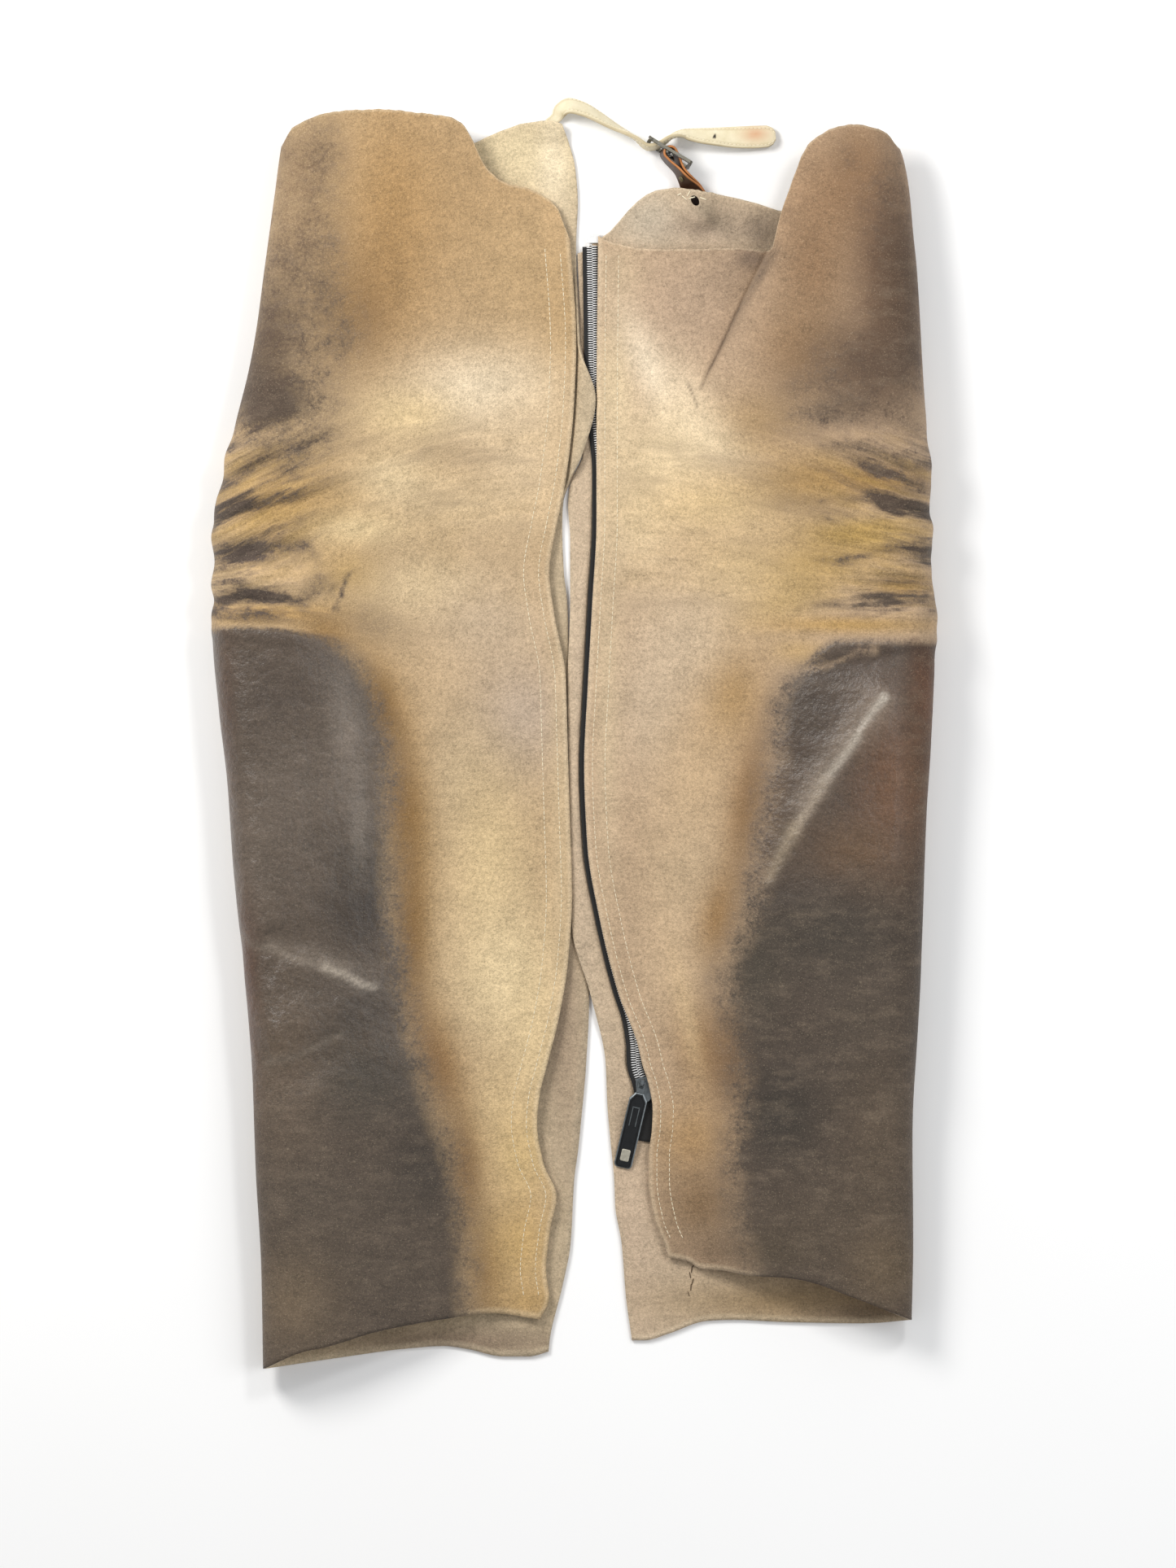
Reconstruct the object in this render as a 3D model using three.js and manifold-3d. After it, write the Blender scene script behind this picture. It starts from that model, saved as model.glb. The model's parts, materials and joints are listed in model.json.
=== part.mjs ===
// Riding chaps lying flat on their backs: two wrapped leather legs with long zips,
// joined at the waist by a stitched strap, a centre-bar buckle and a leather tab.
// Millimetres. +X to the wearer's left leg as it lies, +Y to the waist, +Z up.
import * as THREE from 'three';
import * as BufferGeometryUtils from 'three/addons/utils/BufferGeometryUtils.js';
import Module from 'manifold-3d';

const wasm = await Module();
wasm.setup();

// Driving sizes of the legs
const leg_length = 1006;
const leg_reach = 289;
const leather = 2.2;
const crown_height = 50;
const fold_radius = 26;
const seat_gap = 0.3;

// Driving sizes of the zips
const teeth_width = 9.6;
const teeth_height = 2.2;
const tape_height = 0.8;
const front_tape_width = 12;
const back_tape_width = 2.6;
const left_zip_inset = 9;
const right_zip_inset = 4;
const slider_length = 20;
const slider_width = 12;
const slider_plate = 1;
const slider_post = 4;
const box_height = 2.5;
const box_width = 10;
const box_length = 8;
const zip_top = 0.893;
const zip_end = 0.18;
const slider_at = 0.2267;
const slider_rise = 1.25;

// Driving sizes of the puller and the arch that holds it
const puller_length = 70;
const puller_width = 14.5;
const puller_neck = 6.2;
const puller_plate = 2;
const puller_bar = 1;
const puller_turn = 13.3;
const arch_width = 2.4;
const arch_wire = 1.2;
const running_gap = 0.35;

// Driving sizes of the strap, the buckle and the tab
const strap_share = 0.6263;
const strap_width = 18.5;
const strap_thickness = 3.4;
const buckle_length = 40;
const buckle_width = 26;
const buckle_rail = 3;
const buckle_corner = 3.6;
const buckle_bar = 2.4;
const buckle_thickness = 2.6;
const buckle_heading = -31;
const buckle_tilt = 78;
const prong_radius = 1.1;
const eye_radius = 3.1;
const eye_height = 3;
const tab_width = 16.8;
const tab_leather = 2.5;
const tab_tail = 16;
const rivet_radius = 2.5;
const rivet_height = 1.2;
const tab_hole_length = 9;
const tab_hole_width = 6;

// Levels above the floor that follow from the sizes
const chain_level = leather + seat_gap + teeth_height / 2;
const edge_level = chain_level + teeth_height / 2 + 0.6 + leather / 2;
const strap_lift = strap_thickness + 9 * seat_gap;

// The strap's length in plan, from its root to its tip, follows the legs' reach
const strap_span = strap_share * leg_reach;

// Heights of the front layer above the floor, shares of crown_height
const crown_rows = [
  { along: 0.00, height: 0.70 },
  { along: 0.10, height: 0.78 },
  { along: 0.30, height: 0.92 },
  { along: 0.50, height: 1.00 },
  { along: 0.62, height: 0.96 },
  { along: 0.75, height: 1.00 },
  { along: 0.90, height: 0.92 },
  { along: 1.00, height: 0.84 },
];

// Rise of the zip to its slider, shares of slider_rise
const chain_rise_rows = [
  { along: 0.185, rise: 0 },
  { along: 0.205, rise: 1 },
  { along: 0.240, rise: 1 },
  { along: 0.275, rise: 0 },
];

// Rise of the front edge over the slider, shares of leather
const front_lift_rows = [
  { along: 0.150, lift: 0 },
  { along: 0.200, lift: 1.2 },
  { along: 0.227, lift: 1.4 },
  { along: 0.250, lift: 1.2 },
  { along: 0.300, lift: 0 },
];

// The stitched band beside the front edge: distance in from the edge as a share of
// the teeth's width, and height over the edge as a share of the leather
const band_rows = [
  { inward: 0.00, height: 0.00 },
  { inward: 0.73, height: 0.22 },
  { inward: 1.46, height: 0.00 },
  { inward: 1.90, height: -0.36 },
  { inward: 2.60, height: -0.22 },
];

// Left leg. along runs from the hem, 0, to the waist, 1, as a share of leg_length;
// out is the distance from the centre line as a share of leg_reach; across runs
// over a layer from its free edge, 0, to the outer fold, 1.
const left_leg = {
  side: -1,
  zip_inset: [{ along: 0, inset: 1 }, { along: 1, inset: 1 }],
  zip_inset_size: left_zip_inset,
  outer_fold: [
    { along: 0.000, out: 0.861 },
    { along: 0.079, out: 0.866 },
    { along: 0.156, out: 0.881 },
    { along: 0.247, out: 0.893 },
    { along: 0.331, out: 0.920 },
    { along: 0.400, out: 0.944 },
    { along: 0.466, out: 0.960 },
    { along: 0.525, out: 0.984 },
    { along: 0.583, out: 1.000 },
    { along: 0.673, out: 1.000 },
    { along: 0.690, out: 0.985 },
    { along: 0.712, out: 0.972 },
    { along: 0.751, out: 0.937 },
    { along: 0.796, out: 0.898 },
    { along: 0.830, out: 0.877 },
    { along: 0.867, out: 0.860 },
    { along: 0.932, out: 0.829 },
    { along: 0.968, out: 0.812 },
    { along: 0.985, out: 0.799 },
  ],
  front_edge: [
    { along: 0.039, out: 0.097 },
    { along: 0.056, out: 0.070 },
    { along: 0.078, out: 0.079 },
    { along: 0.110, out: 0.068 },
    { along: 0.137, out: 0.050 },
    { along: 0.163, out: 0.086 },
    { along: 0.195, out: 0.104 },
    { along: 0.217, out: 0.097 },
    { along: 0.238, out: 0.079 },
    { along: 0.282, out: 0.041 },
    { along: 0.324, out: 0.018 },
    { along: 0.376, out: 0.007 },
    { along: 0.441, out: 0.0135 },
    { along: 0.505, out: 0.020 },
    { along: 0.550, out: 0.025 },
    { along: 0.599, out: 0.056 },
    { along: 0.632, out: 0.070 },
    { along: 0.673, out: 0.047 },
    { along: 0.705, out: 0.025 },
    { along: 0.764, out: 0.002 },
    { along: 0.815, out: -0.0045 },
    { along: 0.899, out: 0.0135 },
  ],
  back_edge: [
    { along: 0.0136, out: 0.072 },
    { along: 0.0245, out: 0.068 },
    { along: 0.065, out: 0.034 },
    { along: 0.0995, out: 0.011 },
    { along: 0.150, out: 0.001 },
    { along: 0.174, out: -0.010 },
    { along: 0.200, out: -0.019 },
    { along: 0.238, out: -0.031 },
    { along: 0.2965, out: -0.0405 },
    { along: 0.350, out: 0.002 },
    { along: 0.441, out: 0.0045 },
    { along: 0.570, out: 0.016 },
    { along: 0.609, out: 0.0205 },
    { along: 0.634, out: 0.030 },
    { along: 0.667, out: 0.034 },
    { along: 0.688, out: 0.032 },
    { along: 0.705, out: 0.0135 },
    { along: 0.725, out: -0.020 },
    { along: 0.770, out: -0.0586 },
    { along: 0.815, out: -0.0135 },
    { along: 0.893, out: -0.0045 },
    { along: 0.925, out: -0.009 },
    { along: 0.953, out: -0.002 },
    { along: 0.990, out: 0.036 },
  ],
  front_top: [
    { across: 0.000, along: 0.896 },
    { across: 0.020, along: 0.909 },
    { across: 0.042, along: 0.922 },
    { across: 0.083, along: 0.930 },
    { across: 0.139, along: 0.937 },
    { across: 0.195, along: 0.940 },
    { across: 0.236, along: 0.9435 },
    { across: 0.277, along: 0.951 },
    { across: 0.305, along: 0.9595 },
    { across: 0.333, along: 0.972 },
    { across: 0.388, along: 0.990 },
    { across: 0.437, along: 0.9945 },
    { across: 0.550, along: 0.9976 },
    { across: 0.660, along: 1.000 },
    { across: 0.800, along: 0.999 },
    { across: 0.900, along: 0.9945 },
    { across: 0.943, along: 0.990 },
    { across: 0.977, along: 0.985 },
    { across: 1.000, along: 0.970 },
  ],
  back_top: [
    { across: 0.000, along: 0.988 },
    { across: 0.030, along: 0.991 },
    { across: 0.147, along: 0.9885 },
    { across: 0.265, along: 0.9795 },
    { across: 0.338, along: 0.9735 },
    { across: 0.560, along: 0.972 },
    { across: 0.853, along: 0.974 },
    { across: 1.000, along: 0.970 },
  ],
  front_hem: [
    { across: 0.000, along: 0.039 },
    { across: 0.185, along: 0.044 },
    { across: 0.360, along: 0.039 },
    { across: 0.595, along: 0.029 },
    { across: 0.770, along: 0.0174 },
    { across: 0.862, along: 0.013 },
    { across: 1.000, along: 0.000 },
  ],
  back_hem: [
    { across: 0.000, along: 0.0136 },
    { across: 0.066, along: 0.0097 },
    { across: 0.160, along: 0.0097 },
    { across: 0.282, along: 0.0155 },
    { across: 0.368, along: 0.018 },
    { across: 0.520, along: 0.0155 },
    { across: 0.707, along: 0.0097 },
    { across: 1.000, along: 0.000 },
  ],
  crease: [{ along: 0, across: 0.5 }, { along: 1, across: 0.5 }],
  step: [{ along: 0, step: 0 }, { along: 1, step: 0 }],
  guard_rise: [{ along: 0, lift: 0 }, { along: 1, lift: 0 }],
  guard_lift: [
    { along: 0.680, lift: 0 },
    { along: 0.715, lift: 2.4 },
    { along: 0.770, lift: 3.1 },
    { along: 0.820, lift: 3.1 },
    { along: 0.880, lift: 0 },
  ],
  back_stations: [0, 0.06, 0.15, 0.32, 0.52, 0.76, 1],
  waist_bump: { out: 0.0585, along: 0.990, rise: strap_lift, wide: 16, deep: 16 },
  folds: [
    { from: [0.741, 0.02], to: [0.756, 0.22], rise: -0.9, spread: 0.9 },
    { from: [0.725, 0.00], to: [0.748, 0.28], rise: 1.3, spread: 1.0 },
    { from: [0.707, 0.00], to: [0.742, 0.30], rise: -1.2, spread: 1.0 },
    { from: [0.689, 0.00], to: [0.712, 0.40], rise: 1.3, spread: 1.0 },
    { from: [0.672, 0.00], to: [0.691, 0.26], rise: -1.1, spread: 0.9 },
    { from: [0.661, 0.00], to: [0.684, 0.34], rise: 1.3, spread: 0.9 },
    { from: [0.641, 0.00], to: [0.654, 0.28], rise: -1.3, spread: 1.0 },
    { from: [0.622, 0.00], to: [0.627, 0.36], rise: 1.3, spread: 0.9 },
    { from: [0.610, 0.00], to: [0.608, 0.28], rise: -1.2, spread: 0.8 },
    { from: [0.598, 0.00], to: [0.594, 0.30], rise: 1.1, spread: 0.8 },
    { from: [0.586, 0.00], to: [0.577, 0.32], rise: 0.9, spread: 0.7 },
    { from: [0.700, 0.70], to: [0.620, 0.94], rise: 0.6, spread: 1.2 },
    { from: [0.575, 0.22], to: [0.470, 0.46], rise: 1.2, spread: 3.0 },
    { from: [0.262, 0.10], to: [0.312, 0.48], rise: 1.4, spread: 2.4 },
    { from: [0.235, 0.12], to: [0.275, 0.52], rise: -1.0, spread: 2.4 },
    { from: [0.330, 0.03], to: [0.355, 0.30], rise: -0.8, spread: 1.8 },
  ],
};

// Right leg, in the same measures
const right_leg = {
  side: 1,
  zip_inset: [
    { along: 0.180, inset: -1.3 },
    { along: 0.235, inset: -1.3 },
    { along: 0.258, inset: -0.40 },
    { along: 0.290, inset: 1 },
    { along: 0.710, inset: 1 },
    { along: 0.776, inset: -0.40 },
    { along: 0.830, inset: -0.80 },
    { along: 0.896, inset: -1.25 },
  ],
  zip_inset_size: right_zip_inset,
  outer_fold: [
    { along: 0.040, out: 0.932 },
    { along: 0.100, out: 0.936 },
    { along: 0.182, out: 0.934 },
    { along: 0.311, out: 0.957 },
    { along: 0.441, out: 0.973 },
    { along: 0.490, out: 0.984 },
    { along: 0.537, out: 0.991 },
    { along: 0.583, out: 1.000 },
    { along: 0.641, out: 0.989 },
    { along: 0.699, out: 0.986 },
    { along: 0.776, out: 0.966 },
    { along: 0.873, out: 0.946 },
    { along: 0.901, out: 0.936 },
    { along: 0.933, out: 0.926 },
    { along: 0.958, out: 0.911 },
    { along: 0.974, out: 0.892 },
  ],
  front_edge: [
    { along: 0.0885, out: 0.257 },
    { along: 0.0975, out: 0.250 },
    { along: 0.1176, out: 0.223 },
    { along: 0.150, out: 0.205 },
    { along: 0.169, out: 0.205 },
    { along: 0.190, out: 0.214 },
    { along: 0.206, out: 0.216 },
    { along: 0.2267, out: 0.204 },
    { along: 0.240, out: 0.189 },
    { along: 0.260, out: 0.172 },
    { along: 0.298, out: 0.1216 },
    { along: 0.357, out: 0.070 },
    { along: 0.415, out: 0.036 },
    { along: 0.479, out: 0.027 },
    { along: 0.537, out: 0.036 },
    { along: 0.609, out: 0.0495 },
    { along: 0.673, out: 0.061 },
    { along: 0.764, out: 0.061 },
    { along: 0.899, out: 0.0653 },
  ],
  back_edge: [
    { along: 0.024, out: 0.158 },
    { along: 0.057, out: 0.142 },
    { along: 0.0995, out: 0.130 },
    { along: 0.1286, out: 0.1125 },
    { along: 0.150, out: 0.1095 },
    { along: 0.180, out: 0.0995 },
    { along: 0.210, out: 0.0905 },
    { along: 0.242, out: 0.086 },
    { along: 0.298, out: 0.043 },
    { along: 0.350, out: -0.007 },
    { along: 0.441, out: -0.0135 },
    { along: 0.544, out: -0.019 },
    { along: 0.609, out: -0.0124 },
    { along: 0.660, out: -0.0125 },
    { along: 0.686, out: -0.018 },
    { along: 0.705, out: -0.010 },
    { along: 0.715, out: 0.008 },
    { along: 0.725, out: 0.0225 },
    { along: 0.770, out: 0.0225 },
    { along: 0.815, out: 0.017 },
    { along: 0.886, out: 0.008 },
  ],
  front_top: [
    { across: 0.000, along: 0.899 },
    { across: 0.065, along: 0.893 },
    { across: 0.170, along: 0.889 },
    { across: 0.300, along: 0.889 },
    { across: 0.430, along: 0.890 },
    { across: 0.545, along: 0.8875 },
    { across: 0.585, along: 0.917 },
    { across: 0.640, along: 0.948 },
    { across: 0.675, along: 0.964 },
    { across: 0.735, along: 0.978 },
    { across: 0.790, along: 0.985 },
    { across: 0.850, along: 0.988 },
    { across: 0.890, along: 0.9873 },
    { across: 0.932, along: 0.985 },
    { across: 0.967, along: 0.981 },
    { across: 1.000, along: 0.968 },
  ],
  back_top: [
    { across: 0.000, along: 0.885 },
    { across: 0.020, along: 0.888 },
    { across: 0.052, along: 0.8945 },
    { across: 0.087, along: 0.9005 },
    { across: 0.117, along: 0.9085 },
    { across: 0.146, along: 0.9175 },
    { across: 0.176, along: 0.926 },
    { across: 0.205, along: 0.932 },
    { across: 0.250, along: 0.936 },
    { across: 0.313, along: 0.9375 },
    { across: 0.359, along: 0.936 },
    { across: 0.423, along: 0.9325 },
    { across: 0.487, along: 0.929 },
    { across: 0.564, along: 0.9235 },
    { across: 0.640, along: 0.918 },
    { across: 0.770, along: 0.918 },
    { across: 0.900, along: 0.941 },
    { across: 1.000, along: 0.968 },
  ],
  front_hem: [
    { across: 0.000, along: 0.0885 },
    { across: 0.087, along: 0.085 },
    { across: 0.131, along: 0.0795 },
    { across: 0.225, along: 0.078 },
    { across: 0.332, along: 0.074 },
    { across: 0.493, along: 0.072 },
    { across: 0.600, along: 0.068 },
    { across: 0.728, along: 0.059 },
    { across: 0.870, along: 0.0485 },
    { across: 1.000, along: 0.0388 },
  ],
  back_hem: [
    { across: 0.000, along: 0.0226 },
    { across: 0.047, along: 0.0226 },
    { across: 0.137, along: 0.028 },
    { across: 0.278, along: 0.038 },
    { across: 0.371, along: 0.0388 },
    { across: 0.560, along: 0.037 },
    { across: 0.840, along: 0.036 },
    { across: 1.000, along: 0.0388 },
  ],
  crease: [
    { along: 0.550, across: 0.500 },
    { along: 0.700, across: 0.380 },
    { along: 0.770, across: 0.328 },
    { along: 0.815, across: 0.400 },
    { along: 0.854, across: 0.473 },
    { along: 0.8875, across: 0.545 },
  ],
  step: [
    { along: 0.770, step: 0 },
    { along: 0.800, step: 0.35 },
    { along: 0.8875, step: 1 },
  ],
  guard_rise: [
    { along: 0.150, lift: 0 },
    { along: 0.170, lift: 0 },
    { along: 0.195, lift: 0.45 },
    { along: 0.220, lift: 0.73 },
    { along: 0.670, lift: 0.73 },
    { along: 0.700, lift: 0 },
  ],
  guard_lift: [
    { along: 0.260, lift: 0 },
    { along: 0.290, lift: 1.2 },
    { along: 0.610, lift: 1.2 },
    { along: 0.640, lift: 0 },
  ],
  back_stations: [0, 0.16, 0.30, 0.36, 0.42, 0.48, 0.60, 0.78, 1],
  waist_bump: { out: 0.338, along: 0.929, rise: 12, wide: 19, deep: 24 },
  folds: [
    { from: [0.719, 0.00], to: [0.736, 0.25], rise: 1.2, spread: 1.0 },
    { from: [0.738, 0.02], to: [0.752, 0.26], rise: -1.0, spread: 1.2 },
    { from: [0.688, 0.00], to: [0.707, 0.34], rise: -1.2, spread: 1.0 },
    { from: [0.700, 0.08], to: [0.692, 0.46], rise: 1.2, spread: 1.0 },
    { from: [0.678, 0.00], to: [0.668, 0.22], rise: -1.2, spread: 0.8 },
    { from: [0.668, 0.00], to: [0.664, 0.17], rise: 1.2, spread: 0.8 },
    { from: [0.642, 0.00], to: [0.653, 0.32], rise: -1.1, spread: 0.8 },
    { from: [0.634, 0.04], to: [0.630, 0.44], rise: 1.3, spread: 1.0 },
    { from: [0.628, 0.00], to: [0.598, 0.40], rise: -1.1, spread: 1.0 },
    { from: [0.598, 0.00], to: [0.586, 0.42], rise: 1.2, spread: 1.0 },
    { from: [0.578, 0.00], to: [0.568, 0.38], rise: 0.9, spread: 0.7 },
    { from: [0.568, 0.02], to: [0.550, 0.42], rise: -0.9, spread: 1.4 },
    { from: [0.530, 0.12], to: [0.390, 0.46], rise: 2.0, spread: 2.8 },
    { from: [0.330, 0.10], to: [0.300, 0.50], rise: -0.8, spread: 2.4 },
    { from: [0.250, 0.10], to: [0.220, 0.55], rise: 0.9, spread: 2.6 },
  ],
};

// Stations of the leather grid: rows up the leg, and columns across each layer
const row_stations = [
  0, 0.05, 0.10, 0.14, 0.17, 0.20, 0.23, 0.26, 0.30, 0.36, 0.43, 0.50, 0.55,
  0.57, 0.582, 0.594, 0.606, 0.618, 0.63, 0.642, 0.654, 0.666, 0.678, 0.69,
  0.71, 0.74, 0.775, 0.815, 0.86, 0.91, 0.95, 0.98, 1,
];
const arc_angles = [-60, -30, 0, 30, 60];
const front_stations = [1, 0.86, 0.72, 0.60, 0.52, 0.48, 0.40, 0.30, 0.19, 0.09];
const fold_unit = 9;
const lift_ramp = 6;

function mix(a, b, share) {
  return a + (b - a) * share;
}

function ease(low, high, value) {
  const share = Math.min(1, Math.max(0, (value - low) / (high - low)));
  return share * share * (3 - 2 * share);
}

// A smooth line through the rows of a table that doesn't overshoot them
function read(rows, key, column, where) {
  const last = rows.length - 1;
  if (where <= rows[0][key]) return rows[0][column];
  if (where >= rows[last][key]) return rows[last][column];
  let i = 0;
  while (where > rows[i + 1][key]) i += 1;
  const slope = (j) => (rows[j + 1][column] - rows[j][column]) / (rows[j + 1][key] - rows[j][key]);
  const tangent = (j) => {
    if (j === 0) return slope(0);
    if (j === last) return slope(last - 1);
    const product = slope(j - 1) * slope(j);
    return product <= 0 ? 0 : (2 * product) / (slope(j - 1) + slope(j));
  };
  const step = rows[i + 1][key] - rows[i][key];
  const t = (where - rows[i][key]) / step;
  const t2 = t * t;
  const t3 = t2 * t;
  return (2 * t3 - 3 * t2 + 1) * rows[i][column] + (t3 - 2 * t2 + t) * step * tangent(i)
    + (3 * t2 - 2 * t3) * rows[i + 1][column] + (t3 - t2) * step * tangent(i + 1);
}

// Distances out from the centre line of a leg's lines, in millimetres
function out_of(leg, line, along) {
  return read(leg[line], 'along', 'out', along) * leg_reach;
}

function chain_out(leg, along) {
  const inset = read(leg.zip_inset, 'along', 'inset', along) * leg.zip_inset_size;
  return out_of(leg, 'front_edge', along) + inset;
}

function fold_out(leg, along) {
  return out_of(leg, 'outer_fold', along) - leather / 2;
}

function front_lift(along) {
  return read(front_lift_rows, 'along', 'lift', along) * leather;
}

// The foot and the top of the lip that runs beside the zip on the back layer
function lip_foot(leg, along) {
  const foot = chain_out(leg, along) - teeth_width / 2 - back_tape_width - 4 * seat_gap;
  return Math.max(foot, out_of(leg, 'back_edge', along) + 4);
}

function lip_top(leg, along) {
  return Math.max(lip_foot(leg, along) - 1.5, out_of(leg, 'back_edge', along) + 2);
}

function guard_crest(leg, along) {
  const crest = Math.min(lip_top(leg, along) - 0.5, lip_foot(leg, along) - lift_ramp);
  return Math.max(crest, out_of(leg, 'back_edge', along) + 1);
}

// Height of the back layer's middle over the floor, from its lifts
function back_height(leg, along, out) {
  const foot = lip_foot(leg, along);
  const beyond = foot - out;
  const edge = read(leg.guard_lift, 'along', 'lift', along) * leather * ease(0, lift_ramp, beyond);
  const rise = read(leg.guard_rise, 'along', 'lift', along) * leather;
  const lip = rise * ease(0, 1.4, beyond) * (1 - ease(3, lift_ramp, beyond));
  const bump = leg.waist_bump;
  const from_x = (out - bump.out * leg_reach) / bump.wide;
  const from_y = ((along - bump.along) * leg_length) / bump.deep;
  const away = from_x * from_x + from_y * from_y;
  return leather / 2 + edge + lip + bump.rise * Math.exp(-away * away);
}

// Rise of the leather over its plain form from the wrinkles, in millimetres
function wrinkle(leg, along, across) {
  let total = 0;
  for (const fold of leg.folds) {
    const run_y = (fold.to[0] - fold.from[0]) * leg_length;
    const run_x = (fold.to[1] - fold.from[1]) * leg_reach;
    const y = (along - fold.from[0]) * leg_length;
    const x = (across - fold.from[1]) * leg_reach;
    const share = Math.min(1, Math.max(0, (x * run_x + y * run_y) / (run_x ** 2 + run_y ** 2)));
    const far = Math.hypot(x - share * run_x, y - share * run_y) / (fold.spread * fold_unit);
    total += fold.rise * leather * (1 - 0.7 * share) * Math.exp(-far * far);
  }
  return total;
}

// One point of a leg's middle surface: out from the centre line, along, and height
function back_point(leg, station, along) {
  const foot = lip_foot(leg, along);
  const inner = fold_out(leg, along) - fold_radius;
  let out = mix(foot, inner, station);
  if (station === 'edge') out = out_of(leg, 'back_edge', along);
  if (station === 'crest') out = guard_crest(leg, along);
  if (station === 'lip') out = lip_top(leg, along);
  return { out, along, z: back_height(leg, along, out) };
}

function arc_point(leg, angle, along) {
  const turn = THREE.MathUtils.degToRad(angle);
  const crown = read(crown_rows, 'along', 'height', along) * crown_height;
  const low = leather / 2;
  const proud = wrinkle(leg, along, 0) * (1 + Math.sin(turn)) / 2;
  const out = fold_out(leg, along) + (Math.cos(turn) - 1) * fold_radius + proud * Math.cos(turn);
  const z = (crown + low) / 2 + Math.sin(turn) * ((crown - low) / 2 + proud);
  return { out, along, z };
}

function band_point(leg, row, along) {
  const out = out_of(leg, 'front_edge', along) + row.inward * teeth_width;
  return { out, along, z: edge_level + front_lift(along) + row.height * leather };
}

function front_point(leg, station, along) {
  const band = band_point(leg, band_rows[band_rows.length - 1], along);
  const edge = out_of(leg, 'front_edge', along);
  const fold = fold_out(leg, along);
  const inner = fold - fold_radius;
  const crown = read(crown_rows, 'along', 'height', along) * crown_height;
  const crease_out = mix(edge, fold, read(leg.crease, 'along', 'across', along));
  const crease = (crease_out - band.out) / (inner - band.out);
  const share = station < 0.5 ? station * 2 * crease : mix(crease, 1, station * 2 - 1);
  const smooth_rise = Math.sin(share * Math.PI / 2) ** 1.2;
  const stepped_rise = station < 0.5
    ? 0.12 * station
    : 0.72 + 0.28 * Math.sin((station - 0.5) * Math.PI);
  const rise = mix(smooth_rise, stepped_rise, read(leg.step, 'along', 'step', along));
  const out = mix(band.out, inner, share);
  const across = (fold - out) / (fold - edge);
  const fade = Math.min(1, share * 5);
  const z = mix(band.z, crown, rise) + wrinkle(leg, along, across) * fade;
  return { out, along, z };
}

// The columns of a leg's grid, from the back edge round the fold to the front edge
function leg_columns(leg) {
  const back = ['edge', 'crest', 'lip', ...leg.back_stations].map((station) => ({
    top: leg.back_top,
    hem: leg.back_hem,
    edge: 'back_edge',
    point: (along) => back_point(leg, station, along),
  }));
  const arc = arc_angles.map((angle) => ({
    top: angle < 0 ? leg.back_top : leg.front_top,
    hem: angle < 0 ? leg.back_hem : leg.front_hem,
    edge: angle < 0 ? 'back_edge' : 'front_edge',
    point: (along) => arc_point(leg, angle, along),
  }));
  const front = front_stations.map((station) => ({
    top: leg.front_top,
    hem: leg.front_hem,
    edge: 'front_edge',
    point: (along) => front_point(leg, station, along),
  }));
  const band = [...band_rows].reverse().map((row) => ({
    top: leg.front_top,
    hem: leg.front_hem,
    edge: 'front_edge',
    point: (along) => band_point(leg, row, along),
  }));
  return [...back, ...arc, ...front, ...band];
}

// Where a column meets the waist or the hem
function column_end(leg, column, rows, guess) {
  let along = guess;
  for (let turn = 0; turn < 6; turn += 1) {
    const edge = out_of(leg, column.edge, along);
    const across = (column.point(along).out - edge) / (fold_out(leg, along) - edge);
    along = read(rows, 'across', 'along', across);
  }
  return along;
}

function place(leg, point) {
  return new THREE.Vector3(
    leg.side * point.out,
    (point.along - 0.5) * leg_length,
    point.z,
  );
}

function leg_grid(leg) {
  return leg_columns(leg).map((column) => {
    const top = column_end(leg, column, column.top, 0.95);
    const hem = column_end(leg, column, column.hem, 0.03);
    return row_stations.map((row) => place(leg, column.point(mix(hem, top, row))));
  });
}

// A closed wall of even thickness about a grid of points
function thick_sheet(grid, thickness) {
  const wide = grid.length;
  const high = grid[0].length;
  const positions = [];
  const at = (i, j) => grid[Math.min(wide - 1, Math.max(0, i))][Math.min(high - 1, Math.max(0, j))];
  for (const sign of [1, -1]) {
    for (let i = 0; i < wide; i += 1) {
      for (let j = 0; j < high; j += 1) {
        const across = at(i + 1, j).clone().sub(at(i - 1, j));
        const up = at(i, j + 1).clone().sub(at(i, j - 1));
        const normal = across.cross(up).normalize();
        const point = at(i, j).clone().addScaledVector(normal, sign * thickness / 2);
        positions.push(point.x, point.y, point.z);
      }
    }
  }
  const index = [];
  const name = (layer, i, j) => layer * wide * high + i * high + j;
  const quad = (a, b, c, d) => index.push(a, b, c, a, c, d);
  for (let i = 0; i < wide - 1; i += 1) {
    for (let j = 0; j < high - 1; j += 1) {
      quad(name(0, i, j), name(0, i + 1, j), name(0, i + 1, j + 1), name(0, i, j + 1));
      quad(name(1, i, j), name(1, i, j + 1), name(1, i + 1, j + 1), name(1, i + 1, j));
    }
  }
  for (let i = 0; i < wide - 1; i += 1) {
    quad(name(0, i + 1, 0), name(0, i, 0), name(1, i, 0), name(1, i + 1, 0));
    quad(name(0, i, high - 1), name(0, i + 1, high - 1), name(1, i + 1, high - 1), name(1, i, high - 1));
  }
  for (let j = 0; j < high - 1; j += 1) {
    quad(name(0, 0, j), name(0, 0, j + 1), name(1, 0, j + 1), name(1, 0, j));
    quad(name(0, wide - 1, j + 1), name(0, wide - 1, j), name(1, wide - 1, j), name(1, wide - 1, j + 1));
  }
  return facing_out(closed_geometry(positions, index));
}

function closed_geometry(positions, index) {
  const geometry = new THREE.BufferGeometry();
  geometry.setAttribute('position', new THREE.Float32BufferAttribute(positions, 3));
  geometry.setIndex(index);
  return geometry;
}

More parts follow.
